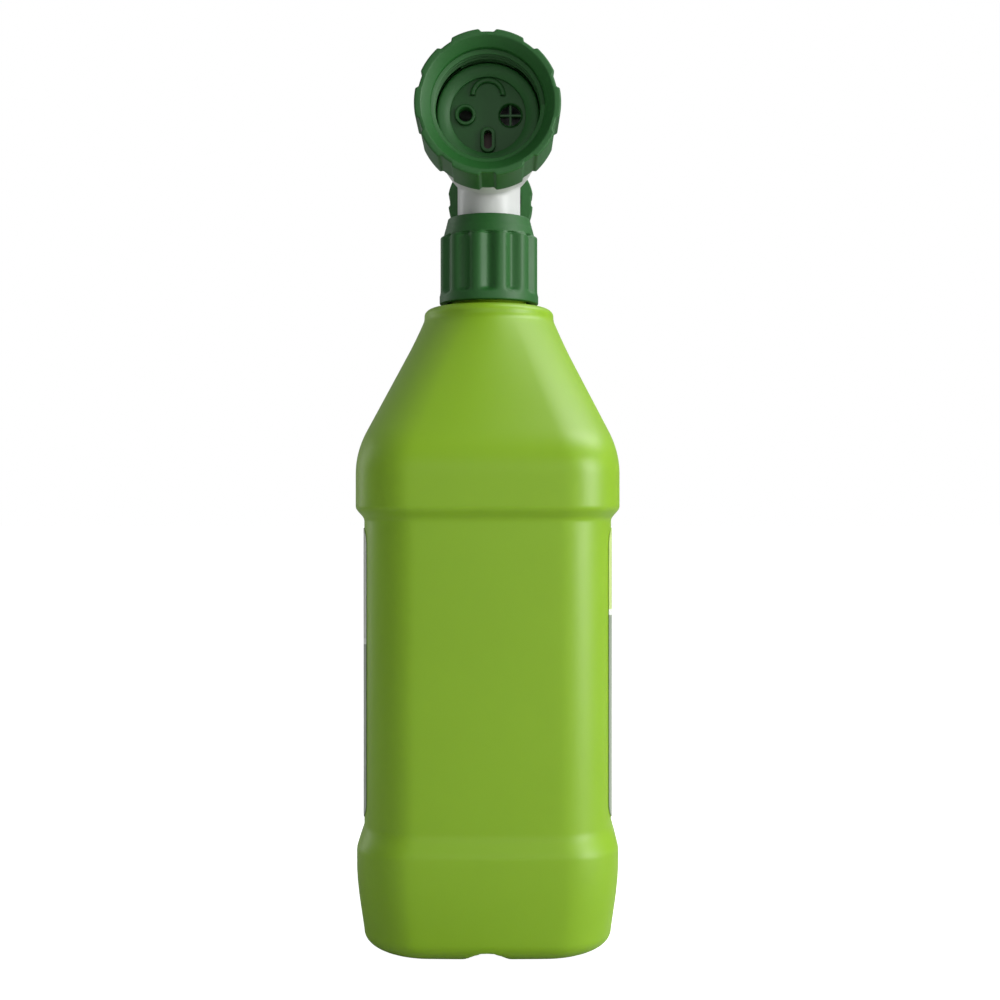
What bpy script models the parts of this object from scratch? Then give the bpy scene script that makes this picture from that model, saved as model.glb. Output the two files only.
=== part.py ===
"""Hose-end sprayer bottle: a blow-moulded bottle with a screw-on spraying head.

The bottle stands on its base. The spraying head is clamped on the bottle's neck by a ribbed collar.
Its horizontal barrel has a swivelling hose nut at one end (-Y) and a selector knob at the other (+Y).
Every size is in millimetres. The bottle's own axis is x = y = 0 under the "assembly" empty, which
moves the whole object so that the world origin is the centre of its box, at the base.
"""

import math

import bmesh
import bpy
from mathutils import Matrix, Vector

MM = 0.001
UP = (0.0, 0.0, 1.0)
GAP = 0.3                      # clearance between pieces that touch on the real object

# Bottle
BOTTLE_THICKNESS = 65.2        # across the two labelled faces, X
BOTTLE_DEPTH = 120.0           # along the barrel, Y
BOTTLE_WALL = 1.2
BOTTLE_FLOOR = 3.2
CORNER_RADIUS = 14.0
SIDE_CROWN = 1.0               # how far the middle of each side stands out
PANEL_INSET = 2.0              # depth of the label panel below the shoulder band
HEEL_HEIGHT = 5.5
HEEL_DEPTH = 7.6
HEEL_TAPER = 2.4
BASE_BAND_MIDDLE = 22.0
BASE_BAND_TOP = 26.0
BASE_BAND_INSET = 0.3
PANEL_BOTTOM = 31.0
PANEL_STEP_HEIGHT = 3.4        # slope between the panel and the shoulder band
SHOULDER_BAND_HEIGHT = 8.0
SHOULDER_HEIGHT = 40.5
SHOULDER_EASE = 0.25           # share of the shoulder's height that is its rounded start
PLATFORM_RADIUS = 17.5
PLATFORM_HEIGHT = 5.0
PLATFORM_TOP = 161.5           # height of the bottle without its neck
PLATFORM_LIP = 0.9
BASE_GROOVE_WIDTH = 12.0
BASE_GROOVE_HEIGHT = 1.4
LABEL_THICKNESS = 0.25
LABEL_MARGIN = 1.8             # bare panel above and below the label
LABEL_WRAP = 4                 # points of the section that the label reaches past its middle

# Neck finish and its screw thread
NECK_RADIUS = 10.1
NECK_WALL = 1.9
NECK_HEIGHT = 15.5
THREAD_PITCH = 3.175
THREAD_DEPTH = 1.0
THREAD_ROOT_WIDTH = 1.4
THREAD_CREST_WIDTH = 0.7
THREAD_TURNS = 1.5
NECK_THREAD_START = 5.6        # height of the thread's start above the platform

# Seal, plug and collar
SEAL_THICKNESS = 1.5
FLANGE_THICKNESS = 2.2
FLANGE_CLEARANCE = 0.5
PLUG_LENGTH = 9.0
PLUG_CLEARANCE = 0.6
HEAD_NECK_STEP = 1.6           # how much thinner the head's neck is than the bottle's
COLLAR_FOOT_GAP = 1.1          # dark gap between the platform and the collar
COLLAR_WALL = 1.9
COLLAR_THREAD_CLEARANCE = 0.4
COLLAR_BAND_HEIGHT = 2.6
COLLAR_CONE_HEIGHT = 5.2
COLLAR_CONE_BASE_STEP = 1.1
COLLAR_CONE_TOP_WALL = 2.3
COLLAR_RIBS = 12
COLLAR_GROOVE_ANGLE = 12.0
COLLAR_GROOVE_DEPTH = 0.8

# Suction side
DIP_TUBE_RADIUS = 3.0
DIP_TUBE_WALL = 1.0
DIP_TUBE_FLOOR_GAP = 3.0
DIP_TUBE_SOCKET_DEPTH = 6.0
METERING_THICKNESS = 1.5
METERING_HOLE = 0.6
SUCTION_BORE = 1.6
VENT_EDGE = 2.0                # from the plug's outside to the vent's middle
VENT_BORE = 0.9
VENT_STEM_RADIUS = 0.5
VENT_CAP_RADIUS = 1.9
VENT_CAP_THICKNESS = 0.6
VENT_STEM_LENGTH = 3.5

# Barrel: positions along Y from the bottle's axis
BARREL_RISE = 23.8             # from the head's flange to the barrel's axis
NUT_FRONT = -50.0
NUT_LENGTH = 18.4
NUT_WALL = 3.2
NUT_LUG_HEIGHT = 0.7
NUT_LUGS = 10
NUT_NOTCH_ANGLE = 12.0
NUT_MOUTH_CHAMFER = 1.8
NUT_MOUTH_DEPTH = 2.6
NUT_BORE = 13.8
NUT_REAR_WALL = 1.5
HOSE_THREAD_PITCH = 2.209      # 11.5 threads per inch
HOSE_THREAD_DEPTH = 1.0
HOSE_THREAD_WIDTH = 1.3
HOSE_THREAD_TURNS = 3.5
SNAP_SLOT_WIDTH = 0.9
SNAP_SLOT_EDGE = 0.1           # wall left between the slots and the nut's bore
SNAP_SLOT_ANGLE = 60.0
SNAP_SLOTS = 3
INLET_FLANGE_CLEARANCE = 0.9   # between the inlet flange and the nut's bore
INLET_FLANGE_STEP = 2.3
INLET_FLANGE_LENGTH = 2.9
SHROUD_STEP = 0.8              # how much smaller the shroud is than the nut
SHROUD_LENGTH = 5.0
BARREL_WAIST_RADIUS = 12.5
BARREL_WAIST = 9.0
NOZZLE_TUBE_RADIUS = 9.2
NOZZLE_TUBE_START = 15.0
CHAMBER_LEDGE = 1.5            # ledge that the inlet plate rests on
CHAMBER_END = -20.0
WATERWAY_RADIUS = 4.0

# Inlet plate and what is on it
PLATE_EDGE = 2.0               # how much smaller the plate is than the inlet flange
PLATE_THICKNESS = 2.0
WASHER_THICKNESS = 1.6
PORT_EDGE = 5.3                # from the plate's edge to each port's middle
OPEN_PORT_RADIUS = 1.85
BARRED_PORT_RADIUS = 2.65
PORT_BOSS_RADIUS = 3.1
PORT_BOSS_HEIGHT = 1.2
PORT_BAR_WIDTH = 0.5
SLOT_HALF_WIDTH = 1.3
SLOT_HALF_HEIGHT = 2.6
SLOT_RIM = 0.8
ARCH_EDGE = 5.6                # from the plate's edge to the arch's centre
ARCH_RADIUS = 4.8
ARCH_WIDTH = 0.9

# Backflow check valve behind the plate's lower slot
POPPET_RADIUS = 2.8
POPPET_CLEARANCE = 0.4
POPPET_THICKNESS = 1.2
POPPET_STEM_RADIUS = 0.8
POPPET_GUIDE_DEPTH = 5.0
POPPET_TRAVEL = 2.0
SPRING_COIL_RADIUS = 1.6
SPRING_WIRE_RADIUS = 0.22
SPRING_TURNS = 6
SPRING_POINTS_PER_TURN = 9

# Mixing jet in the waterway, over the suction bore
JET_START = -12.0
JET_END = 10.0
JET_MOUTH_WALL = 0.9
JET_THROAT_RADIUS = 1.4
JET_THROAT_LENGTH = 6.0
JET_RING_RADIUS = 0.7

# Selector knob and the valve inside it
KNOB_FRONT = 74.0
KNOB_LENGTH = 12.5
KNOB_WALL = 3.4
KNOB_LUG_HEIGHT = 0.6
KNOB_LUGS = 8
KNOB_NOTCH_ANGLE = 15.0
KNOB_FACE = 2.4
KNOB_FACE_BEVEL = 1.6
KNOB_SKIRT_CLEARANCE = 0.4
NOSE_LENGTH = 4.5
NOSE_GROOVE_DEPTH = 2.0
SEAL_RING_RADIUS = 0.8
VALVE_SEAT_THICKNESS = 1.2
VALVE_ROTOR_THICKNESS = 2.0
VALVE_PORT_OFFSET = 2.3
VALVE_PORT_RADIUS = 1.3
NOZZLE_RADIUS = 5.0
NOZZLE_BORE = 2.0
NOZZLE_REACH = 1.5             # how far the nozzle stands out of the knob's face
FAN_SLOT_WIDTH = 1.2

# Round pieces
TURN_STEPS = 32
FINE_STEPS = 24
SMALL_STEPS = 12
GROOVE_STEPS = 64
SECTION_SIDE_POINTS = 2
SECTION_ARC_POINTS = 6
HEEL_ROWS = 4
BASE_BAND_ROWS = 3
SHOULDER_ROWS = 7
CUT_PAST = 1.0                 # how far a cutter runs on past what it cuts

# What follows from the sizes above
SHOULDER_END = PLATFORM_TOP - PLATFORM_HEIGHT
SHOULDER_START = SHOULDER_END - SHOULDER_HEIGHT
SHOULDER_BAND_BOTTOM = SHOULDER_START - SHOULDER_BAND_HEIGHT
PANEL_TOP = SHOULDER_BAND_BOTTOM - PANEL_STEP_HEIGHT
NECK_BORE = NECK_RADIUS - NECK_WALL
NECK_TOP = PLATFORM_TOP + NECK_HEIGHT
SEAL_BOTTOM = NECK_TOP + GAP
FLANGE_BOTTOM = SEAL_BOTTOM + SEAL_THICKNESS + GAP
FLANGE_TOP = FLANGE_BOTTOM + FLANGE_THICKNESS
PLUG_BOTTOM = FLANGE_BOTTOM - PLUG_LENGTH
PLUG_RADIUS = NECK_BORE - PLUG_CLEARANCE
HEAD_NECK_RADIUS = NECK_RADIUS - HEAD_NECK_STEP
VENT_OFFSET = PLUG_RADIUS - VENT_EDGE
COLLAR_BOTTOM = PLATFORM_TOP + COLLAR_FOOT_GAP
COLLAR_BORE = NECK_RADIUS + THREAD_DEPTH + COLLAR_THREAD_CLEARANCE
FLANGE_RADIUS = COLLAR_BORE - FLANGE_CLEARANCE
COLLAR_SHOULDER = FLANGE_TOP + GAP
COLLAR_RADIUS = COLLAR_BORE + COLLAR_WALL
COLLAR_CONE_BOTTOM = COLLAR_SHOULDER - COLLAR_CONE_BASE_STEP
COLLAR_TOP = COLLAR_CONE_BOTTOM + COLLAR_CONE_HEIGHT
SOCKET_BORE = DIP_TUBE_RADIUS + GAP
TUBE_TOP = PLUG_BOTTOM + DIP_TUBE_SOCKET_DEPTH
METERING_BOTTOM = TUBE_TOP + GAP
SOCKET_TOP = METERING_BOTTOM + METERING_THICKNESS + GAP
BARREL_AXIS_HEIGHT = FLANGE_TOP + BARREL_RISE
NUT_RADIUS = NUT_BORE + NUT_WALL
NUT_MOUTH_RADIUS = NUT_BORE + NUT_MOUTH_CHAMFER
NUT_REAR = NUT_FRONT + NUT_LENGTH
SHROUD_RADIUS = NUT_RADIUS - SHROUD_STEP
INLET_FLANGE_RADIUS = NUT_BORE - INLET_FLANGE_CLEARANCE
INLET_SNOUT_RADIUS = INLET_FLANGE_RADIUS - INLET_FLANGE_STEP
PLATE_RADIUS = INLET_FLANGE_RADIUS - PLATE_EDGE
WASHER_INNER_RADIUS = PLATE_RADIUS + GAP
WASHER_OUTER_RADIUS = NUT_BORE - HOSE_THREAD_DEPTH - GAP
PORT_OFFSET = PLATE_RADIUS - PORT_EDGE
ARCH_RISE = PLATE_RADIUS - ARCH_EDGE
CHAMBER_RADIUS = PLATE_RADIUS - CHAMBER_LEDGE
SLOT_DROP = CHAMBER_RADIUS - POPPET_RADIUS - POPPET_CLEARANCE
SHROUD_FRONT = NUT_REAR + GAP
NUT_WALL_INSIDE = NUT_REAR - NUT_REAR_WALL
FLANGE_REAR = NUT_WALL_INSIDE - GAP
INLET_FACE = FLANGE_REAR - INLET_FLANGE_LENGTH
PLATE_BACK = INLET_FACE - GAP + PLATE_THICKNESS
PLATE_SEAT = PLATE_BACK + GAP
POPPET_FRONT = PLATE_SEAT
STEM_END = CHAMBER_END + POPPET_GUIDE_DEPTH - POPPET_TRAVEL - GAP
JET_RADIUS = WATERWAY_RADIUS - GAP
JET_MOUTH_RADIUS = JET_RADIUS - JET_MOUTH_WALL
KNOB_SKIRT_BORE = NOZZLE_TUBE_RADIUS + KNOB_SKIRT_CLEARANCE
KNOB_RADIUS = KNOB_SKIRT_BORE + KNOB_WALL
NOSE_START = KNOB_FRONT - GAP
NOSE_RADIUS = KNOB_SKIRT_BORE - GAP
NOSE_END = NOSE_START + NOSE_LENGTH
SEAT_BACK = NOSE_END + GAP + VALVE_SEAT_THICKNESS
ROTOR_BACK = SEAT_BACK + GAP + VALVE_ROTOR_THICKNESS
KNOB_BACK = KNOB_FRONT + KNOB_LENGTH
NOZZLE_END = KNOB_BACK + NOZZLE_REACH
ASSEMBLY_SHIFT = -(NOZZLE_END - BOTTLE_DEPTH / 2) / 2


# ---------------------------------------------------------------- scene and materials

def clear_scene():
    for obj in list(bpy.data.objects):
        bpy.data.objects.remove(obj, do_unlink=True)


def new_collection(name):
    collection = bpy.data.collections.new(name)
    bpy.context.scene.collection.children.link(collection)
    return collection


def make_material(name, colour, roughness, metallic=0.0):
    material = bpy.data.materials.new(name)
    material.use_nodes = True
    shader = material.node_tree.nodes["Principled BSDF"]
    shader.inputs["Base Color"].default_value = (*colour, 1.0)
    shader.inputs["Roughness"].default_value = roughness
    shader.inputs["Metallic"].default_value = metallic
    return material


clear_scene()
PIECES = new_collection("hose_end_sprayer_bottle")
CUTTERS = new_collection("cutters")
ASSEMBLY = bpy.data.objects.new("assembly", None)
ASSEMBLY.location = Vector((0.0, ASSEMBLY_SHIFT * MM, 0.0))
PIECES.objects.link(ASSEMBLY)

LIME_PLASTIC = make_material("lime_polyethylene", (0.24, 0.42, 0.03), 0.45)
GREEN_PLASTIC = make_material("dark_green_polypropylene", (0.015, 0.10, 0.025), 0.42)
WHITE_PLASTIC = make_material("white_polypropylene", (0.72, 0.72, 0.70), 0.4)
CLEAR_PLASTIC = make_material("natural_polyethylene", (0.75, 0.76, 0.72), 0.35)
BLACK_RUBBER = make_material("black_rubber", (0.02, 0.02, 0.02), 0.7)
RED_RUBBER = make_material("red_brown_rubber", (0.20, 0.05, 0.03), 0.6)
SPRING_STEEL = make_material("stainless_spring_wire", (0.6, 0.6, 0.6), 0.3, 1.0)
LABEL_FILM = make_material("label_film", (0.85, 0.86, 0.85), 0.4)


# ---------------------------------------------------------------- modelling helpers

def place(obj, material, along_barrel=False, offset=(0.0, 0.0, 0.0)):
    """Stand a piece on the bottle's axis, or lay it along the barrel with its own +Z as +Y."""
    obj.parent = ASSEMBLY
    x, y, z = offset
    if along_barrel:
        obj.rotation_euler = (-math.pi / 2, 0.0, 0.0)
        z += BARREL_AXIS_HEIGHT
    obj.location = Vector((x, y, z)) * MM
    if material is None:
        CUTTERS.objects.link(obj)
        obj.hide_render = True
        obj.display_type = "WIRE"
    else:
        PIECES.objects.link(obj)
        obj.data.materials.append(material)
    return obj


def mesh_object(name, bm):
    mesh = bpy.data.meshes.new(name)
    bm.to_mesh(mesh)
    bm.free()
    mesh.shade_smooth()
    mesh.set_sharp_from_angle(angle=math.radians(30))
    return bpy.data.objects.new(name, mesh)


def turned(name, outline, material, closed=False, steps=TURN_STEPS, **placing):
    """Turn an outline of (radius, height) points, listed down the outer side."""
    bm = bmesh.new()
    verts = [bm.verts.new((r * MM, 0.0, z * MM)) for r, z in outline]
    pairs = list(zip(verts, verts[1:]))
    if closed:
        pairs.append((verts[-1], verts[0]))
    for first, second in pairs:
        bm.edges.new((first, second))
    obj = mesh_object(name, bm)
    screw = obj.modifiers.new("turn", "SCREW")
    screw.steps = steps
    screw.render_steps = steps
    screw.use_merge_vertices = True
    screw.merge_threshold = 0.00001
    screw.use_smooth_shade = True
    return place(obj, material, **placing)


def ring(name, inner, outer, low, high, material, **options):
    """Turn a plain ring of rectangular section."""
    outline = [(outer, high), (outer, low), (inner, low), (inner, high)]
    return turned(name, outline, material, closed=True, **options)


def disc(name, radius, low, high, material, **options):
    """Turn a plain solid disc or pin."""
    outline = [(0.0, high), (radius, high), (radius, low), (0.0, low)]
    return turned(name, outline, material, **options)


def add_sweep(bm, section, start, angle, steps, rise=0.0):
    """Sweep a closed section of (radius, height) points round Z, rising as a screw thread does."""
    turn = Matrix.Rotation(math.radians(start), 4, "Z")
    verts = [bm.verts.new(turn @ Vector((r * MM, 0.0, z * MM))) for r, z in section]
    face = bm.faces.new(verts)
    bmesh.ops.spin(
        bm,
        geom=[face],
        cent=(0.0, 0.0, 0.0),
        axis=UP,
        dvec=(0.0, 0.0, rise * MM / steps),
        angle=math.radians(angle),
        steps=steps,
        use_merge=False,
    )


def sweep_object(name, bm, material, **placing):
    bmesh.ops.recalc_face_normals(bm, faces=bm.faces)
    return place(mesh_object(name, bm), material, **placing)


def arc_blocks(name, radii, heights, width, count, first, **placing):
    """Cut or add blocks of ring, evenly spaced round Z and centred on the first angle."""
    (inner, outer), (low, high) = radii, heights
    section = [(outer, low), (outer, high), (inner, high), (inner, low)]
    steps = max(2, round(width / 10.0))
    bm = bmesh.new()
    for index in range(count):
        centre = first + index * 360.0 / count
        add_sweep(bm, section, centre - width / 2, width, steps)
    return sweep_object(name, bm, None, **placing)


def thread_blank(name, section, start, turns, pitch, **placing):
    """Wind a screw thread's ridge, to be joined to the wall that carries it."""
    bm = bmesh.new()
    steps = round(turns * FINE_STEPS)
    add_sweep(bm, section, start, turns * 360.0, steps, rise=turns * pitch)
    return sweep_object(name, bm, None, **placing)


def ridge_section(root, crest, middle, root_width, crest_width):
    """Section of a thread ridge, sunk 0.3 mm into the wall at its root."""
    sink = math.copysign(GAP, root - crest)
    half_root, half_crest = root_width / 2, crest_width / 2
    return [
        (root + sink, middle - half_root),
        (root, middle - half_root),
        (crest, middle - half_crest),
        (crest, middle + half_crest),
        (root, middle + half_root),
        (root + sink, middle + half_root),
    ]


def combine(obj, other, operation="DIFFERENCE"):
    boolean = obj.modifiers.new(other.name, "BOOLEAN")
    boolean.operation = operation
    boolean.solver = "EXACT"
    boolean.object = other


def box_cutter(name, size, centre, turn=0.0):
    """A plain box along the world's axes, or turned about the barrel's axis."""
    bm = bmesh.new()
    bmesh.ops.create_cube(bm, size=1.0)
    bmesh.ops.scale(bm, vec=Vector(size) * MM, verts=bm.verts)
    bmesh.ops.rotate(bm, cent=(0, 0, 0), matrix=Matrix.Rotation(turn, 3, "Y"), verts=bm.verts)
    return place(mesh_object(name, bm), None, offset=centre)


def torus(name, major, minor, height, material, **placing):
    """An O-ring on the given height along its axis."""
    bpy.ops.mesh.primitive_torus_add(
        major_segments=FINE_STEPS,
        minor_segments=8,
        major_radius=major * MM,
        minor_radius=minor * MM,
    )
    obj = bpy.context.object
    obj.name = name
    obj.data.name = name
    obj.data.transform(Matrix.Translation((0.0, 0.0, height * MM)))
    for collection in list(obj.users_collection):
        collection.objects.unlink(obj)
    return place(obj, material, **placing)


# ---------------------------------------------------------------- bottle

def side_bow(position, reach):
    """How far a crowned side falls back from its middle."""
    return SIDE_CROWN * (position / reach) ** 2


def quadrant(half_x, half_y, radius):
    """First quadrant of the crowned, rounded rectangle, from the +X side to the +Y side."""
    flat_x, flat_y = half_x - radius, half_y - radius
    steps = [index / (SECTION_SIDE_POINTS + 1) for index in range(SECTION_SIDE_POINTS + 1)]
    points = [(half_x - side_bow(s, 1.0), flat_y * s) for s in steps]
    for index in range(SECTION_ARC_POINTS):
        angle = math.radians(90.0 * (index + 0.5) / SECTION_ARC_POINTS)
        x = flat_x - SIDE_CROWN + radius * math.cos(angle)
        y = flat_y - SIDE_CROWN + radius * math.sin(angle)
        points.append((x, y))
    points += [(flat_x * s, half_y - side_bow(s, 1.0)) for s in reversed(steps[1:])]
    return points


def body_section(inset):
    """The whole outline of the body, pulled in all round by an inset."""
    half_x, half_y = BOTTLE_THICKNESS / 2 - inset, BOTTLE_DEPTH / 2 - inset
    first = quadrant(half_x, half_y, CORNER_RADIUS - inset / 2)
    top = (0.0, half_y)
    side = (half_x, 0.0)
    right_up = first + [top]
    left_up = [(-x, y) for x, y in reversed(first[1:])] + [(-side[0], 0.0)]
    upper = right_up + left_up
    lower = [(x, -y) for x, y in reversed(upper[1:-1])]
    return upper + lower


def circle_section(radius):
    count = len(body_section(0.0))
    angles = [2 * math.pi * index / count for index in range(count)]
    return [(radius * math.cos(a), radius * math.sin(a)) for a in angles]


def mixed_section(share, inset):
    """A section of the shoulder, between the body's outline and the round platform."""
    pairs = zip(body_section(inset), circle_section(PLATFORM_RADIUS - inset))
    return [((1 - share) * a + share * c, (1 - share) * b + share * d) for (a, b), (c, d) in pairs]


def shoulder_share(part):
    """A rounded start, then a straight slope up to the platform."""
    slope = 1.0 / (1.0 - SHOULDER_EASE / 2)
    if part < SHOULDER_EASE:
        return slope * part * part / (2 * SHOULDER_EASE)
    return slope * (part - SHOULDER_EASE / 2)


def body_insets():
    """Heights and insets of the outer body, from the heel to the shoulder band."""
    rows = []
    for index in range(HEEL_ROWS + 1):
        angle = math.pi / 2 * index / HEEL_ROWS
        rows.append((HEEL_HEIGHT * (1 - math.cos(angle)), HEEL_TAPER + HEEL_DEPTH * (1 - math.sin(angle))))
    for index in range(1, BASE_BAND_ROWS + 1):
        part = index / BASE_BAND_ROWS
        height = HEEL_HEIGHT + part * (BASE_BAND_MIDDLE - HEEL_HEIGHT)
        fall = (HEEL_TAPER - BASE_BAND_INSET) * (1 + math.cos(math.pi * part)) / 2
        rows.append((height, BASE_BAND_INSET + fall))
    rows.append((BASE_BAND_TOP, BASE_BAND_INSET + 0.2))
    rows.append(((BASE_BAND_TOP + PANEL_BOTTOM) / 2, (BASE_BAND_INSET + PANEL_INSET) / 2))
    rows.append((PANEL_BOTTOM, PANEL_INSET))
    rows.append((PANEL_TOP, PANEL_INSET))
    rows.append(((PANEL_TOP + SHOULDER_BAND_BOTTOM) / 2, PANEL_INSET / 2))
    rows.append((SHOULDER_BAND_BOTTOM, 0.0))
    rows.append((SHOULDER_START, 0.0))
    return rows


def bottle_rows(wall):
    """Sections of the bottle's outside, or of its inside when a wall is taken off."""
    floor = BOTTLE_FLOOR if wall else -GAP
    rows = [(height, body_section(inset + wall)) for height, inset in body_insets() if height > floor]
    if wall:
        heel_inset = HEEL_TAPER + HEEL_DEPTH / 2
        rows.insert(0, (BOTTLE_FLOOR, body_section(heel_inset + wall)))
    for index in range(1, SHOULDER_ROWS + 1):
        part = index / SHOULDER_ROWS
        height = SHOULDER_START + part * (SHOULDER_END - SHOULDER_START)
        rows.append((height, mixed_section(shoulder_share(part), wall)))
    if wall:
        rows.append((PLATFORM_TOP - wall, circle_section(PLATFORM_RADIUS - wall)))
        rows.append((PLATFORM_TOP - wall, circle_section(NECK_BORE)))
        rows.append((NECK_TOP + CUT_PAST, circle_section(NECK_BORE)))
    else:
        rows.append((PLATFORM_TOP - PLATFORM_LIP, circle_section(PLATFORM_RADIUS)))
        rows.append((PLATFORM_TOP - PLATFORM_LIP / 4, circle_section(PLATFORM_RADIUS - PLATFORM_LIP / 2)))
        rows.append((PLATFORM_TOP, circle_section(PLATFORM_RADIUS - PLATFORM_LIP)))
        rows.append((PLATFORM_TOP, circle_section(NECK_RADIUS)))
        rows.append((NECK_TOP, circle_section(NECK_RADIUS)))
    return rows


def loft(name, rows, material):
    """Skin a stack of sections that all have the same number of points."""
    bm = bmesh.new()
    loops = [[bm.verts.new((x * MM, y * MM, z * MM)) for x, y in section] for z, section in rows]
    for low, high in zip(loops, loops[1:]):
        for index in range(len(low)):
            after = (index + 1) % len(low)
            bm.faces.new((low[index], low[after], high[after], high[index]))
    bm.faces.new(list(reversed(loops[0])))
    bm.faces.new(loops[-1])
    return place(mesh_object(name, bm), material)


def make_bottle():
    bottle = loft("bottle", bottle_rows(0.0), LIME_PLASTIC)
    combine(bottle, loft("bottle_inside", bottle_rows(BOTTLE_WALL), None))
    combine(bottle, base_groove())
    crest = NECK_RADIUS + THREAD_DEPTH
    section = ridge_section(NECK_RADIUS, crest, 0.0, THREAD_ROOT_WIDTH, THREAD_CREST_WIDTH)
    start = (0.0, 0.0, PLATFORM_TOP + NECK_THREAD_START)
    ridge = thread_blank("neck_thread", section, 0.0, THREAD_TURNS, THREAD_PITCH, offset=start)
    combine(bottle, ridge, "UNION")


def base_groove():
    """A shallow arch along the whole base: a cylinder whose top stands just above the ground."""
    half = BASE_GROOVE_WIDTH / 2
    radius = (half * half + BASE_GROOVE_HEIGHT ** 2) / (2 * BASE_GROOVE_HEIGHT)
    drop = BASE_GROOVE_HEIGHT - radius - BARREL_AXIS_HEIGHT
    return disc("base_groove", radius, -BOTTLE_DEPTH, BOTTLE_DEPTH, None,
                steps=GROOVE_STEPS, along_barrel=True, offset=(0.0, 0.0, drop))


def panel_strip(side, inset):
    """Points of the body's section from the start of one corner to the start of the next."""
    section = body_section(inset)
    return [(side * section[index][0], section[index][1]) for index in range(-LABEL_WRAP, LABEL_WRAP + 1)]


def make_label(name, side):
    """A thin film that follows the crowned panel and turns in at its corners, on the +X or the -X side."""
    inner = panel_strip(side, PANEL_INSET - GAP)
    outer = list(reversed(panel_strip(side, PANEL_INSET - GAP - LABEL_THICKNESS)))
    bottom = PANEL_BOTTOM + LABEL_MARGIN
    height = PANEL_TOP - LABEL_MARGIN - bottom
    bm = bmesh.new()
    face = bm.faces.new([bm.verts.new((x * MM, y * MM, bottom * MM)) for x, y in inner + outer])
    grown = bmesh.ops.extrude_face_region(bm, geom=[face])["geom"]
    moved = [item for item in grown if isinstance(item, bmesh.types.BMVert)]
    bmesh.ops.translate(bm, vec=(0.0, 0.0, height * MM), verts=moved)
    bmesh.ops.recalc_face_normals(bm, faces=bm.faces)
    place(mesh_object(name, bm), LABEL_FILM)


# ---------------------------------------------------------------- closure

def make_neck_seal():
    inner = PLUG_RADIUS + GAP
    top = SEAL_BOTTOM + SEAL_THICKNESS
    ring("neck_seal", inner, COLLAR_BORE - GAP - THREAD_DEPTH, SEAL_BOTTOM, top, BLACK_RUBBER)


def make_collar():
    cone_bore = HEAD_NECK_RADIUS + GAP
    outline = [
        (cone_bore + COLLAR_CONE_TOP_WALL, COLLAR_TOP),
        (COLLAR_RADIUS - COLLAR_CONE_BASE_STEP, COLLAR_CONE_BOTTOM),
        (COLLAR_RADIUS, COLLAR_CONE_BOTTOM - COLLAR_CONE_BASE_STEP / 2),
        (COLLAR_RADIUS, COLLAR_BOTTOM + GAP),
        (COLLAR_RADIUS - GAP, COLLAR_BOTTOM),
        (COLLAR_BORE, COLLAR_BOTTOM),
        (COLLAR_BORE, COLLAR_SHOULDER),
        (cone_bore, COLLAR_SHOULDER),
        (cone_bore, COLLAR_TOP),
    ]
    collar = turned("collar", outline, GREEN_PLASTIC, closed=True, steps=36)
    radii = (COLLAR_RADIUS - COLLAR_GROOVE_DEPTH, COLLAR_RADIUS + CUT_PAST)
    heights = (COLLAR_BOTTOM + COLLAR_BAND_HEIGHT, COLLAR_CONE_BOTTOM + CUT_PAST)
    width = COLLAR_GROOVE_ANGLE
    combine(collar, arc_blocks("collar_grooves", radii, heights, width, COLLAR_RIBS, -90.0))
    crest = COLLAR_BORE - THREAD_DEPTH
    drop = (THREAD_ROOT_WIDTH + THREAD_CREST_WIDTH) / 2 + GAP
    section = ridge_section(COLLAR_BORE, crest, -drop, THREAD_ROOT_WIDTH, THREAD_CREST_WIDTH)
    start = (0.0, 0.0, PLATFORM_TOP + NECK_THREAD_START)
    ridge = thread_blank("collar_thread", section, 0.0, THREAD_TURNS, THREAD_PITCH, offset=start)
    combine(collar, ridge, "UNION")


# ---------------------------------------------------------------- spraying head

def barrel_outline():
    """Down the barrel's outer side, from the nose at +Y to the inlet flange at -Y."""
    groove = NOSE_RADIUS - NOSE_GROOVE_DEPTH
    middle = (NOSE_START + NOSE_END) / 2
    half = SEAL_RING_RADIUS + GAP
    return [
        (0.0, NOSE_END),
        (NOSE_RADIUS, NOSE_END),
        (NOSE_RADIUS, middle + half),
        (groove, middle + half),
        (groove, middle - half),
        (NOSE_RADIUS, middle - half),
        (NOSE_RADIUS, NOSE_START),
        (NOZZLE_TUBE_RADIUS, NOSE_START),
        (NOZZLE_TUBE_RADIUS, NOZZLE_TUBE_START),
        (BARREL_WAIST_RADIUS, BARREL_WAIST),
        (SHROUD_RADIUS, SHROUD_FRONT + SHROUD_LENGTH),
        (SHROUD_RADIUS, SHROUD_FRONT),
        (INLET_SNOUT_RADIUS, SHROUD_FRONT),
        (INLET_SNOUT_RADIUS, FLANGE_REAR),
        (INLET_FLANGE_RADIUS, FLANGE_REAR),
        (INLET_FLANGE_RADIUS, INLET_FACE),
        (0.0, INLET_FACE),
    ]


def barrel_bore_outline():
    """The waterway: the plate's seat, the check valve's chamber and the long bore."""
    return [
        (0.0, NOSE_END + CUT_PAST),
        (WATERWAY_RADIUS, NOSE_END + CUT_PAST),
        (WATERWAY_RADIUS, CHAMBER_END),
        (CHAMBER_RADIUS, CHAMBER_END),
        (CHAMBER_RADIUS, PLATE_SEAT),
        (PLATE_RADIUS + GAP, PLATE_SEAT),
        (PLATE_RADIUS + GAP, INLET_FACE - CUT_PAST),
        (0.0, INLET_FACE - CUT_PAST),
    ]


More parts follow.
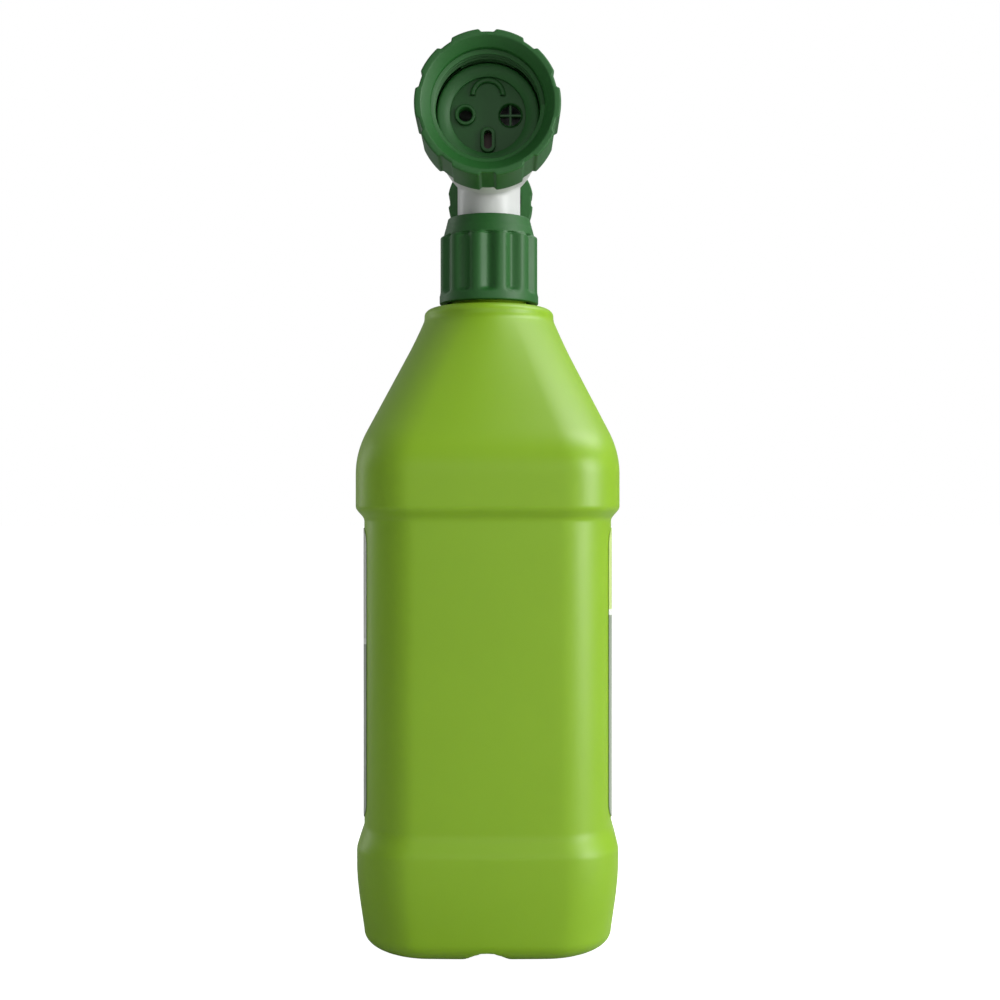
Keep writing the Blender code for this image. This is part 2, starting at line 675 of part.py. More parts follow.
def make_sprayer_body():
    stem_top = BARREL_AXIS_HEIGHT - BARREL_WAIST_RADIUS / 2
    outline = [
        (0.0, stem_top),
        (HEAD_NECK_RADIUS, stem_top),
        (HEAD_NECK_RADIUS, FLANGE_TOP),
        (FLANGE_RADIUS, FLANGE_TOP),
        (FLANGE_RADIUS, FLANGE_BOTTOM),
        (PLUG_RADIUS, FLANGE_BOTTOM),
        (PLUG_RADIUS, PLUG_BOTTOM + GAP),
        (PLUG_RADIUS - GAP, PLUG_BOTTOM),
        (0.0, PLUG_BOTTOM),
    ]
    body = turned("sprayer_body", outline, WHITE_PLASTIC)
    combine(body, disc("tube_socket", SOCKET_BORE, PLUG_BOTTOM - CUT_PAST, SOCKET_TOP, None, steps=16))
    cut_vent(body)
    combine(body, turned("barrel_blank", barrel_outline(), None, along_barrel=True), "UNION")
    combine(body, turned("waterway", barrel_bore_outline(), None, steps=FINE_STEPS, along_barrel=True))
    suction_top = BARREL_AXIS_HEIGHT - CUT_PAST
    suction = disc("suction_bore", SUCTION_BORE, SOCKET_TOP - CUT_PAST, suction_top, None, steps=SMALL_STEPS)
    combine(body, suction)
    guide_end = CHAMBER_END + POPPET_GUIDE_DEPTH
    guide = disc("poppet_guide", POPPET_STEM_RADIUS + GAP, CHAMBER_END - CUT_PAST, guide_end, None,
                 steps=SMALL_STEPS, along_barrel=True, offset=(0.0, 0.0, -SLOT_DROP))
    combine(body, guide)


def cut_vent(body):
    """Air goes in under the collar's cone, and down through the plug to the vent valve."""
    vent_top = FLANGE_TOP + COLLAR_CONE_HEIGHT / 2
    vent = disc("vent_bore", VENT_BORE, PLUG_BOTTOM - CUT_PAST, vent_top, None,
                steps=SMALL_STEPS, offset=(VENT_OFFSET, 0.0, 0.0))
    combine(body, vent)
    exit_size = (HEAD_NECK_RADIUS, VENT_BORE, VENT_BORE)
    exit_centre = (VENT_OFFSET + HEAD_NECK_RADIUS / 2, 0.0, vent_top - VENT_BORE)
    combine(body, box_cutter("vent_exit", exit_size, exit_centre))


def make_suction_pieces():
    tube_bottom = BOTTLE_FLOOR + DIP_TUBE_FLOOR_GAP
    tube_bore = DIP_TUBE_RADIUS - DIP_TUBE_WALL
    ring("dip_tube", tube_bore, DIP_TUBE_RADIUS, tube_bottom, TUBE_TOP, CLEAR_PLASTIC, steps=16)
    metering_top = METERING_BOTTOM + METERING_THICKNESS
    ring("metering_orifice", METERING_HOLE, DIP_TUBE_RADIUS, METERING_BOTTOM, metering_top,
         GREEN_PLASTIC, steps=16)
    cap_top = PLUG_BOTTOM - GAP
    outline = [
        (0.0, cap_top + VENT_STEM_LENGTH),
        (VENT_STEM_RADIUS, cap_top + VENT_STEM_LENGTH),
        (VENT_STEM_RADIUS, cap_top),
        (VENT_CAP_RADIUS, cap_top),
        (VENT_CAP_RADIUS, cap_top - VENT_CAP_THICKNESS / 2),
        (VENT_STEM_RADIUS, cap_top - VENT_CAP_THICKNESS),
        (0.0, cap_top - VENT_CAP_THICKNESS),
    ]
    turned("vent_valve", outline, RED_RUBBER, steps=SMALL_STEPS, offset=(VENT_OFFSET, 0.0, 0.0))


def make_hose_nut():
    outer = NUT_RADIUS + NUT_LUG_HEIGHT
    outline = [
        (outer - GAP, NUT_REAR),
        (outer, NUT_REAR - GAP),
        (outer, NUT_FRONT + GAP),
        (outer - GAP, NUT_FRONT),
        (NUT_MOUTH_RADIUS, NUT_FRONT),
        (NUT_BORE, NUT_FRONT + NUT_MOUTH_DEPTH),
        (NUT_BORE, NUT_WALL_INSIDE),
        (INLET_SNOUT_RADIUS + GAP, NUT_WALL_INSIDE),
        (INLET_SNOUT_RADIUS + GAP, NUT_REAR),
    ]
    nut = turned("hose_nut", outline, GREEN_PLASTIC, closed=True, steps=40, along_barrel=True)
    radii, heights = (NUT_RADIUS, outer + CUT_PAST), (NUT_FRONT - CUT_PAST, NUT_REAR + CUT_PAST)
    notches = arc_blocks("nut_notches", radii, heights, NUT_NOTCH_ANGLE, NUT_LUGS, -90.0, along_barrel=True)
    combine(nut, notches)
    radii = (NUT_BORE - SNAP_SLOT_WIDTH - SNAP_SLOT_EDGE, NUT_BORE - SNAP_SLOT_EDGE)
    heights = (NUT_WALL_INSIDE - CUT_PAST / 2, NUT_REAR + CUT_PAST)
    slots = arc_blocks("snap_slots", radii, heights, SNAP_SLOT_ANGLE, SNAP_SLOTS, -30.0, along_barrel=True)
    combine(nut, slots)
    crest = NUT_BORE - HOSE_THREAD_DEPTH
    section = ridge_section(NUT_BORE, crest, 0.0, HOSE_THREAD_WIDTH, HOSE_THREAD_WIDTH / 3)
    start = NUT_FRONT + NUT_MOUTH_DEPTH + HOSE_THREAD_WIDTH / 2
    ridge = thread_blank("hose_thread", section, 0.0, HOSE_THREAD_TURNS, HOSE_THREAD_PITCH,
                         along_barrel=True, offset=(0.0, start, 0.0))
    combine(nut, ridge, "UNION")


def make_inlet():
    face = INLET_FACE - GAP
    washer_front = face - WASHER_THICKNESS
    ring("hose_washer", WASHER_INNER_RADIUS, WASHER_OUTER_RADIUS, washer_front, face,
         GREEN_PLASTIC, along_barrel=True)
    plate = disc("inlet_plate", PLATE_RADIUS, face, PLATE_BACK, GREEN_PLASTIC, along_barrel=True)
    boss_front = face - PORT_BOSS_HEIGHT
    cut_ends = (boss_front - CUT_PAST, PLATE_BACK + CUT_PAST)
    for side, name in ((-1, "open"), (1, "barred")):
        where = {"along_barrel": True, "offset": (side * PORT_OFFSET, 0.0, 0.0)}
        boss = disc(name + "_boss", PORT_BOSS_RADIUS, boss_front, face + GAP, None, steps=16, **where)
        combine(plate, boss, "UNION")
    slot_size = (2 * SLOT_HALF_WIDTH, PORT_BOSS_HEIGHT + GAP, 2 * SLOT_HALF_HEIGHT)
    rim_size = (slot_size[0] + 2 * SLOT_RIM, slot_size[1], slot_size[2] + 2 * SLOT_RIM)
    slot_centre = (0.0, face - PORT_BOSS_HEIGHT / 2 + GAP / 2, BARREL_AXIS_HEIGHT - SLOT_DROP)
    combine(plate, box_cutter("slot_rim", rim_size, slot_centre), "UNION")
    arch = arc_blocks("arch_rib", (ARCH_RADIUS - ARCH_WIDTH, ARCH_RADIUS), (boss_front, face + GAP),
                      180.0, 1, -90.0, along_barrel=True, offset=(0.0, 0.0, ARCH_RISE))
    combine(plate, arch, "UNION")
    through_slot = (slot_size[0], 4 * PLATE_THICKNESS, slot_size[2])
    combine(plate, box_cutter("slot_port", through_slot, slot_centre))
    combine(plate, disc("open_port", OPEN_PORT_RADIUS, *cut_ends, None, steps=SMALL_STEPS,
                        along_barrel=True, offset=(-PORT_OFFSET, 0.0, 0.0)))
    combine(plate, barred_port(cut_ends, (face + PLATE_BACK) / 2))


def barred_port(cut_ends, bar_middle):
    """The barred port's cutter, which leaves two crossed bars standing in the hole."""
    port = disc("barred_port", BARRED_PORT_RADIUS, *cut_ends, None, steps=SMALL_STEPS,
                along_barrel=True, offset=(PORT_OFFSET, 0.0, 0.0))
    for turn, name in ((0.0, "level"), (math.pi / 2, "upright")):
        depth = PLATE_THICKNESS - GAP * (2 if turn else 1)
        size = (2 * (BARRED_PORT_RADIUS + CUT_PAST), depth, PORT_BAR_WIDTH)
        centre = (PORT_OFFSET, bar_middle, BARREL_AXIS_HEIGHT)
        combine(port, box_cutter(name + "_port_bar", size, centre, turn))
    return port


def make_check_valve():
    head_back = POPPET_FRONT + POPPET_THICKNESS
    outline = [
        (0.0, STEM_END),
        (POPPET_STEM_RADIUS, STEM_END),
        (POPPET_STEM_RADIUS, head_back),
        (POPPET_RADIUS, head_back),
        (POPPET_RADIUS, POPPET_FRONT),
        (0.0, POPPET_FRONT),
    ]
    where = {"along_barrel": True, "offset": (0.0, 0.0, -SLOT_DROP)}
    turned("check_poppet", outline, RED_RUBBER, steps=16, **where)
    low = head_back + GAP + SPRING_WIRE_RADIUS
    high = CHAMBER_END - GAP - SPRING_WIRE_RADIUS
    count = SPRING_TURNS * SPRING_POINTS_PER_TURN
    curve = bpy.data.curves.new("check_spring", "CURVE")
    curve.dimensions = "3D"
    spline = curve.splines.new("POLY")
    spline.points.add(count)
    for index, point in enumerate(spline.points):
        angle = 2 * math.pi * index / SPRING_POINTS_PER_TURN
        height = low + (high - low) * index / count
        x, y = SPRING_COIL_RADIUS * math.cos(angle), SPRING_COIL_RADIUS * math.sin(angle)
        point.co = (x * MM, y * MM, height * MM, 1.0)
    curve.bevel_depth = SPRING_WIRE_RADIUS * MM
    curve.bevel_resolution = 1
    curve.use_fill_caps = True
    place(bpy.data.objects.new("check_spring", curve), SPRING_STEEL, **where)


def make_mixing_jet():
    throat_start = (JET_START + JET_END - JET_THROAT_LENGTH) / 2
    outline = [
        (JET_MOUTH_RADIUS, JET_END),
        (JET_RADIUS, JET_END),
        (JET_RADIUS, JET_START),
        (JET_MOUTH_RADIUS, JET_START),
        (JET_THROAT_RADIUS, throat_start),
        (JET_THROAT_RADIUS, throat_start + JET_THROAT_LENGTH),
    ]
    jet = turned("mixing_jet", outline, WHITE_PLASTIC, closed=True, steps=16, along_barrel=True)
    top = BARREL_AXIS_HEIGHT
    combine(jet, disc("jet_hole", SUCTION_BORE / 2, top - 2 * JET_RADIUS, top, None, steps=SMALL_STEPS))
    height = JET_START - GAP - JET_RING_RADIUS
    torus("jet_seal_ring", JET_RADIUS - JET_RING_RADIUS, JET_RING_RADIUS, height, BLACK_RUBBER,
          along_barrel=True)


# ---------------------------------------------------------------- selector knob

def make_knob_valve():
    """The seat seal stays with the barrel, and the rotor turns with the knob.

    The rotor's port stands a quarter turn before the seat's port, which is the closed position.
    """
    middle = (NOSE_START + NOSE_END) / 2
    ring_radius = NOSE_RADIUS - NOSE_GROOVE_DEPTH + GAP + SEAL_RING_RADIUS
    torus("nose_seal_ring", ring_radius, SEAL_RING_RADIUS, middle, BLACK_RUBBER, along_barrel=True)
    port_height = (NOSE_END - CUT_PAST, KNOB_BACK)
    radius = NOSE_RADIUS - GAP
    seat = disc("valve_seat_seal", radius, NOSE_END + GAP, SEAT_BACK, BLACK_RUBBER,
                steps=FINE_STEPS, along_barrel=True)
    rotor = disc("valve_rotor", radius, SEAT_BACK + GAP, ROTOR_BACK, WHITE_PLASTIC,
                 steps=FINE_STEPS, along_barrel=True)
    seat_port = disc("seat_port", VALVE_PORT_RADIUS, *port_height, None, steps=SMALL_STEPS,
                     along_barrel=True, offset=(VALVE_PORT_OFFSET, 0.0, 0.0))
    combine(seat, seat_port)
    rotor_port = disc("rotor_port", VALVE_PORT_RADIUS, *port_height, None, steps=SMALL_STEPS,
                      along_barrel=True, offset=(0.0, 0.0, VALVE_PORT_OFFSET))
    combine(rotor, rotor_port)


def make_knob():
    outer = KNOB_RADIUS + KNOB_LUG_HEIGHT
    face_inside = KNOB_BACK - KNOB_FACE
    cavity = face_inside - GAP
    nozzle_bore = NOZZLE_RADIUS + GAP
    outline = [
        (KNOB_RADIUS - KNOB_FACE_BEVEL, KNOB_BACK),
        (outer, KNOB_BACK - KNOB_FACE_BEVEL),
        (outer, KNOB_FRONT + GAP),
        (outer - GAP, KNOB_FRONT),
        (KNOB_SKIRT_BORE, KNOB_FRONT),
        (KNOB_SKIRT_BORE, cavity),
        (nozzle_bore, cavity),
        (nozzle_bore, KNOB_BACK),
    ]
    knob = turned("selector_knob", outline, GREEN_PLASTIC, closed=True, steps=40, along_barrel=True)
    radii, heights = (KNOB_RADIUS, outer + CUT_PAST), (KNOB_FRONT - CUT_PAST, KNOB_BACK + CUT_PAST)
    notches = arc_blocks("knob_notches", radii, heights, KNOB_NOTCH_ANGLE, KNOB_LUGS, -90.0,
                         along_barrel=True)
    combine(knob, notches)
    nozzle = ring("nozzle_tip", NOZZLE_BORE, NOZZLE_RADIUS, ROTOR_BACK + GAP, NOZZLE_END,
                  WHITE_PLASTIC, steps=FINE_STEPS, along_barrel=True)
    slot = (2 * (NOZZLE_RADIUS + CUT_PAST), 2 * NOZZLE_REACH, FAN_SLOT_WIDTH)
    combine(nozzle, box_cutter("fan_slot", slot, (0.0, NOZZLE_END, BARREL_AXIS_HEIGHT)))


make_bottle()
make_label("label_left", -1)
make_label("label_right", 1)
make_neck_seal()
make_collar()
make_sprayer_body()
make_suction_pieces()
make_hose_nut()
make_inlet()
make_check_valve()
make_mixing_jet()
make_knob_valve()
make_knob()
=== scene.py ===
# %% [markdown]
# # A hose-end sprayer bottle
# This lesson dresses a jointed CAD model of a garden sprayer: a flat lime bottle, a screw collar, and a
# spraying head with a swivelling hose nut at one end and a selector knob at the other.
# The CAD model is loaded first and stays as it is. It gives every position and moves every piece, so a
# new piece only has to be modelled where the CAD piece already stands.

import math

import bmesh
import bpy
from mathutils import Matrix, Vector


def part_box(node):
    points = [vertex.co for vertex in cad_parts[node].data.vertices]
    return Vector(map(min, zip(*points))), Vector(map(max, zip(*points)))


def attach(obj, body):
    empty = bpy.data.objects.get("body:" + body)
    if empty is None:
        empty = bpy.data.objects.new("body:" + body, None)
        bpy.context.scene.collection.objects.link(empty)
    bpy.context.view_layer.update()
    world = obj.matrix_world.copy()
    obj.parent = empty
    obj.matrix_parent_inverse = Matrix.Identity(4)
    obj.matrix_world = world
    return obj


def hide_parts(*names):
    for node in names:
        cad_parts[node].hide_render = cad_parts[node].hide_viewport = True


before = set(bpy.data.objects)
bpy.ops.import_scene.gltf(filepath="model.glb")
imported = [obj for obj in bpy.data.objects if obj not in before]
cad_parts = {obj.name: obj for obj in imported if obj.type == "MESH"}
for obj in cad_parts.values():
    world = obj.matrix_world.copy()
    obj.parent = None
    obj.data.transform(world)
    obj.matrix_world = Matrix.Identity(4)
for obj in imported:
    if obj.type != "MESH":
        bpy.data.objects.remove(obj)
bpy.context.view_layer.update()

# %% [markdown]
# ## Two axes
# The object is built round two axes. The bottle, its neck and its collar are turned round an upright
# axis. The hose nut, the barrel and the knob are turned round a level one, the barrel's axis.
# Each piece could be modelled in its place at once, but a turned shape is easier to draw round Z at the
# origin, in millimetres. Two matrices then bring it to its place, and they take their numbers from the
# boxes of the CAD nodes.

# %% Places measured on the CAD model
MM = 0.001
FULL_TURN = 2 * math.pi

bottle_low, bottle_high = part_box("bottle")
nut_low, nut_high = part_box("hose_nut")
axis_y = (bottle_low.y + bottle_high.y) / 2
barrel_z = (nut_low.z + nut_high.z) / 2
UPRIGHT = Matrix.Translation((0.0, axis_y, 0.0))
ALONG_BARREL = Matrix.Translation((0.0, axis_y, barrel_z)) @ Matrix.Rotation(-math.pi / 2, 4, "X")


def span(node, along_barrel=False):
    """Where a CAD node starts and ends along its own axis, in mm from the bottle's axis or the ground."""
    low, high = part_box(node)
    if along_barrel:
        return (low.y - axis_y) / MM, (high.y - axis_y) / MM
    return low.z / MM, high.z / MM


print(f"bottle axis y {axis_y / MM:.1f} mm, barrel axis z {barrel_z / MM:.1f} mm")

# %% [markdown]
# ## Camera, floor and light
# The camera stands level, about half way up the bottle, and looks along the barrel into the hose nut.
# A level camera keeps the bottle's upright edges parallel, which is how a catalogue shows a bottle.
# A 56 mm lens at 43 cm gives the near nut and the far knob their difference in size.

# %% Camera
CAMERA_SIDE, CAMERA_BACK, CAMERA_HEIGHT = 3.0, -425.0, 109.6
CAMERA_LENS = 56.3

camera_data = bpy.data.cameras.new("catalogue_camera")
camera_data.lens = CAMERA_LENS
camera_data.sensor_width = 36.0
camera_data.clip_start = 0.01
camera = bpy.data.objects.new("catalogue_camera", camera_data)
camera.location = (CAMERA_SIDE * MM, axis_y + CAMERA_BACK * MM, CAMERA_HEIGHT * MM)
camera.rotation_euler = (math.pi / 2, 0.0, 0.0)
bpy.context.scene.collection.objects.link(camera)
bpy.context.scene.camera = camera
bpy.context.scene.view_settings.view_transform = "Standard"
print("camera at", tuple(round(x, 3) for x in camera.location))

# %% [markdown]
# A material is a small graph of nodes. One function adds a node, sets it, and links it, and one function
# turns the hex colours that a paint or plastics chart gives into the linear numbers that Blender works in.

# %% Node and colour helpers
def add_node(tree, kind, inputs=None, **settings):
    """Adds a shader node. An input is given a number, a colour, or another node's output to read."""
    node = tree.nodes.new("ShaderNode" + kind)
    for name, value in settings.items():
        setattr(node, name, value)
    for socket, value in (inputs or {}).items():
        if isinstance(value, bpy.types.NodeSocket):
            tree.links.new(value, node.inputs[socket])
        else:
            node.inputs[socket].default_value = value
    return node


def srgb(code):
    """A hex colour such as #7DA02C, as linear red, green, blue and alpha."""
    parts = [int(code[i:i + 2], 16) / 255 for i in (1, 3, 5)]
    linear = [c / 12.92 if c <= 0.04045 else ((c + 0.055) / 1.055) ** 2.4 for c in parts]
    return (*linear, 1.0)


print("mid lime in linear numbers:", [round(c, 3) for c in srgb("#7DA02C")])

# %% [markdown]
# The floor is a plain pale table. A white table would throw so much light up at the bottle that its sides
# would all look the same, so the table is pale to the camera only, and dim for the light that leaves it.

# %% Floor
FLOOR_HALF_WIDTH = 6.0

bm = bmesh.new()
bmesh.ops.create_grid(bm, x_segments=1, y_segments=1, size=FLOOR_HALF_WIDTH)
floor_mesh = bpy.data.meshes.new("floor")
bm.to_mesh(floor_mesh)
bm.free()
floor = bpy.data.objects.new("floor", floor_mesh)
bpy.context.scene.collection.objects.link(floor)

paper = bpy.data.materials.new("matt_white_table_paper")
paper.use_nodes = True
tree = paper.node_tree
tree.nodes.clear()
seen = add_node(tree, "LightPath").outputs["Is Camera Ray"]
dim = add_node(tree, "BsdfDiffuse", {"Color": srgb("#C4C4C2")}).outputs["BSDF"]
glow = add_node(tree, "Emission", {"Color": srgb("#FFFFFF"), "Strength": 1.0}).outputs["Emission"]
none = add_node(tree, "Emission", {"Strength": 0.0}).outputs["Emission"]
pale = add_node(tree, "MixShader", {"Fac": seen, 1: none, 2: glow}).outputs["Shader"]
both = add_node(tree, "AddShader", {0: dim, 1: pale}).outputs["Shader"]
add_node(tree, "OutputMaterial", {"Surface": both})
floor_mesh.materials.append(paper)
print("floor", 2 * FLOOR_HALF_WIDTH, "m wide")

# %% [markdown]
# Studio light for plastic is soft and comes from big panels. A tall panel at the right lights the bottle's
# side and the nut's bore, and a wide, weak one in front fills the face that the camera sees. One high and
# behind the right shoulder draws its corner, and a narrow one behind the left only draws a thin edge.
# The surroundings are dim, so the plastic keeps its colour instead of reflecting white.

# %% Lights
def soft_panel(name, place, aim, size, watts):
    """A rectangular studio lamp at one point, in metres, aimed at another."""
    lamp = bpy.data.lights.new(name, "AREA")
    lamp.shape = "RECTANGLE"
    lamp.size, lamp.size_y = size
    lamp.energy = watts
    panel = bpy.data.objects.new(name, lamp)
    panel.location = place
    panel.rotation_euler = (Vector(aim) - Vector(place)).to_track_quat("-Z", "Y").to_euler()
    bpy.context.scene.collection.objects.link(panel)


def lamp_place(azimuth, elevation, distance):
    """A point seen from the bottle: azimuth from straight in front towards the right, in degrees."""
    turn, lift = math.radians(azimuth), math.radians(elevation)
    level = distance * math.cos(lift)
    return (level * math.sin(turn), axis_y - level * math.cos(turn), 0.12 + distance * math.sin(lift))


middle = (0.0, axis_y, 0.12)
soft_panel("key_right", lamp_place(61, 13, 1.0), middle, (0.45, 0.70), 9.0)
soft_panel("fill_front", lamp_place(5, 16, 1.2), middle, (0.80, 0.80), 1.7)
soft_panel("top_right", lamp_place(115, 58, 1.0), middle, (0.35, 0.60), 5.0)
soft_panel("edge_left", lamp_place(-120, 10, 0.9), middle, (0.15, 0.80), 1.2)

world = bpy.data.worlds.new("studio")
bpy.context.scene.world = world
world.use_nodes = True
tree = world.node_tree
tree.nodes.clear()
seen = add_node(tree, "LightPath").outputs["Is Camera Ray"]
shade = add_node(tree, "Mix", {"Factor": seen, 6: srgb("#949696"), 7: srgb("#FFFFFF")}, data_type="RGBA")
sky = add_node(tree, "Background", {"Color": shade.outputs[2], "Strength": 1.0}).outputs["Background"]
add_node(tree, "OutputWorld", {"Surface": sky})

# %% [markdown]
# ## Finishes
# Moulded plastic is never one flat colour. The mould's surface leaves a fine grain, the melt cools unevenly
# and leaves a slow unevenness, and handling leaves a slightly different shine in patches.
# All the plastics and rubbers here are those same three things at different scales, so one maker takes
# the real sizes in millimetres and returns a finish.

# %% A maker for moulded materials
def moulded(name, colour, paler, roughness, grain_mm, grain_depth_mm, wave_mm, wave_depth_mm,
            ior=1.5, spread=0.04):
    """A moulded plastic or rubber: two close colours, a fine grain, a slow waviness and an uneven shine."""
    material = bpy.data.materials.new(name)
    material.use_nodes = True
    tree = material.node_tree
    shader = tree.nodes["Principled BSDF"]
    place = add_node(tree, "TexCoord").outputs["Object"]
    cloud = add_node(tree, "TexNoise", {"Vector": place, "Scale": 1 / (wave_mm * 2.5 * MM), "Detail": 3.0})
    tint = add_node(tree, "Mix", {"Factor": cloud.outputs["Fac"], 6: srgb(colour), 7: srgb(paler)},
                    data_type="RGBA")
    shine = add_node(tree, "MapRange", {"Value": cloud.outputs["Fac"], "From Min": 0.3, "From Max": 0.7,
                                        "To Min": roughness - spread, "To Max": roughness + spread})
    wave = add_node(tree, "TexNoise", {"Vector": place, "Scale": 1 / (wave_mm * MM), "Detail": 1.0})
    waved = add_node(tree, "Bump", {"Height": wave.outputs["Fac"], "Distance": wave_depth_mm * MM,
                                    "Strength": 1.0})
    grain = add_node(tree, "TexNoise", {"Vector": place, "Scale": 1 / (grain_mm * MM), "Detail": 2.0})
    grained = add_node(tree, "Bump", {"Height": grain.outputs["Fac"], "Distance": grain_depth_mm * MM,
                                      "Strength": 1.0, "Normal": waved.outputs["Normal"]})
    tree.links.new(tint.outputs[2], shader.inputs["Base Color"])
    tree.links.new(shine.outputs["Result"], shader.inputs["Roughness"])
    tree.links.new(grained.outputs["Normal"], shader.inputs["Normal"])
    shader.inputs["IOR"].default_value = ior
    return material


# High-density polyethylene, blow-moulded: waxy, softly shiny, with a faint unevenness from the blowing.
# Polyethylene scatters light inside itself, which softens every shadow line.
lime_hdpe = moulded("lime_polyethylene_blow_moulded", "#80AA0E", "#85B012", 0.44, 0.7, 0.004, 14.0, 0.05,
                    ior=1.54)
lime_shader = lime_hdpe.node_tree.nodes["Principled BSDF"]
lime_shader.inputs["Subsurface Weight"].default_value = 0.12
lime_shader.inputs["Subsurface Radius"].default_value = (0.6, 1.0, 0.15)
lime_shader.inputs["Subsurface Scale"].default_value = 0.003

# Polypropylene, injection-moulded in a fine-sparked steel mould: crisper edges, a satin dark green.
green_pp = moulded("green_polypropylene_injection_moulded", "#1A551D", "#1F5D22", 0.52, 0.45, 0.006,
                   9.0, 0.02, ior=1.49)

# The same resin in white, from a smoother mould.
white_pp = moulded("white_polypropylene_injection_moulded", "#C6C8C6", "#CED0CE", 0.40, 0.6, 0.004,
                   9.0, 0.02, ior=1.49)
print("plastics:", lime_hdpe.name, green_pp.name, white_pp.name)

# %% [markdown]
# The small parts inside the head are rubber, silicone, clear polyethylene and steel wire. They hardly show,
# but the hose nut's mouth and a raised collar give glimpses of them, and each one is what it is.

# %% Small-part finishes
# Nitrile rubber O-rings: dull black, with the faint bloom that rubber gets.
black_rubber = moulded("black_nitrile_rubber_moulded", "#141414", "#1C1C1B", 0.62, 0.4, 0.008, 5.0, 0.02)
# Thermoplastic elastomer for the hose seat: the green of the plate, a little softer in its shine.
green_tpe = moulded("green_elastomer_moulded", "#256428", "#2C6E30", 0.52, 0.5, 0.008, 6.0, 0.03)
# Silicone for the valve discs: red-brown, smooth and slightly shiny.
red_silicone = moulded("red_brown_silicone_moulded", "#3C2620", "#472E27", 0.45, 0.5, 0.005, 4.0, 0.02,
                       ior=1.41)
# Low-density polyethylene tube, extruded without dye: milky, and lets some light through.
clear_ldpe = moulded("natural_polyethylene_extruded", "#D9DDD6", "#E2E5DF", 0.38, 0.8, 0.003, 12.0, 0.03,
                     ior=1.51)
clear_ldpe.node_tree.nodes["Principled BSDF"].inputs["Transmission Weight"].default_value = 0.35

# Stainless spring wire, drawn: fine scratches run along it, and a metal keeps the default IOR.
spring_wire = moulded("stainless_wire_drawn", "#B4B6B8", "#C2C4C6", 0.26, 0.3, 0.002, 3.0, 0.002)
spring_wire.node_tree.nodes["Principled BSDF"].inputs["Metallic"].default_value = 1.0
print("small parts:", black_rubber.name, green_tpe.name, red_silicone.name, clear_ldpe.name)

# %% [markdown]
# ## Turned shapes
# Most of the head is turned. A section drawn as a chain of corners could be spun at once, but real
# mouldings have no knife edges, so the section is first made a face, its corners are rounded with a vertex
# bevel, and only then is its outline spun. Long straight edges are subdivided where the turned wall will
# be shaped afterwards.

# %% Helpers for turned shapes
def smooth(start, end, value):
    """0 before start, 1 after end, with a soft rise between."""
    share = min(1.0, max(0.0, (value - start) / (end - start)))
    return share * share * (3 - 2 * share)


def section_face(corners, arc_steps=5):
    """A face in the XZ plane from (radius, height, rounding) corners, in mm."""
    bm = bmesh.new()
    verts = [bm.verts.new((r * MM, 0.0, z * MM)) for r, z, _ in corners]
    bm.faces.new(verts)
    for rounding in sorted({c for _, _, c in corners if c}):
        picked = [v for v, (_, _, c) in zip(verts, corners) if c == rounding]
        bmesh.ops.bevel(bm, geom=picked, offset=rounding * MM, offset_type="OFFSET", segments=arc_steps,
                        profile=0.5, affect="VERTICES", material=-1)
    return bm


def cut_long_edges(bm, longest_mm):
    """Subdivides every edge that is longer than a given length."""
    for edge in list(bm.edges):
        cuts = int(edge.calc_length() / (longest_mm * MM))
        if cuts:
            bmesh.ops.subdivide_edges(bm, edges=[edge], cuts=cuts)


def spun(corners, steps, longest_mm=None):
    """Turns a rounded section all the way round Z."""
    bm = section_face(corners)
    bmesh.ops.delete(bm, geom=bm.faces[:], context="FACES_ONLY")
    on_axis = [e for e in bm.edges if all(abs(v.co.x) < 1e-7 for v in e.verts)]
    bmesh.ops.delete(bm, geom=on_axis, context="EDGES")
    if longest_mm:
        cut_long_edges(bm, longest_mm)
    bmesh.ops.spin(bm, geom=bm.verts[:] + bm.edges[:], cent=(0, 0, 0), axis=(0, 0, 1), dvec=(0, 0, 0),
                   angle=FULL_TURN, steps=steps, use_merge=True)
    bmesh.ops.remove_doubles(bm, verts=bm.verts, dist=1e-7)
    bmesh.ops.recalc_face_normals(bm, faces=bm.faces)
    return bm


def swept(corners, start, angle, steps, rise_mm=0.0):
    """Sweeps a section part of the way round Z, rising as a screw thread does, and closed at both ends."""
    bm = section_face(corners, arc_steps=3)
    bmesh.ops.rotate(bm, cent=(0, 0, 0), matrix=Matrix.Rotation(math.radians(start), 3, "Z"), verts=bm.verts)
    bmesh.ops.spin(bm, geom=bm.faces[:], cent=(0, 0, 0), axis=(0, 0, 1), dvec=(0, 0, rise_mm * MM / steps),
                   angle=math.radians(angle), steps=steps, use_merge=False)
    bmesh.ops.recalc_face_normals(bm, faces=bm.faces)
    return bm


def move_radially(bm, change):
    """Moves each vertex out from Z by change(radius, angle, height), in mm and degrees."""
    for v in bm.verts:
        radius = math.hypot(v.co.x, v.co.y)
        if radius > 1e-6:
            angle = math.degrees(math.atan2(v.co.y, v.co.x))
            factor = 1 + change(radius / MM, angle, v.co.z / MM) * MM / radius
            v.co.x *= factor
            v.co.y *= factor


def notch(angle, centre, spacing, width, flank):
    """1 inside evenly spaced notches and 0 between them, with soft flanks. All in degrees."""
    off = abs((angle - centre + spacing / 2) % spacing - spacing / 2)
    return 1 - smooth((width - flank) / 2, (width + flank) / 2, off)


print("a notch's flank at its middle:", notch(6.0, 0.0, 36.0, 12.0, 3.0))
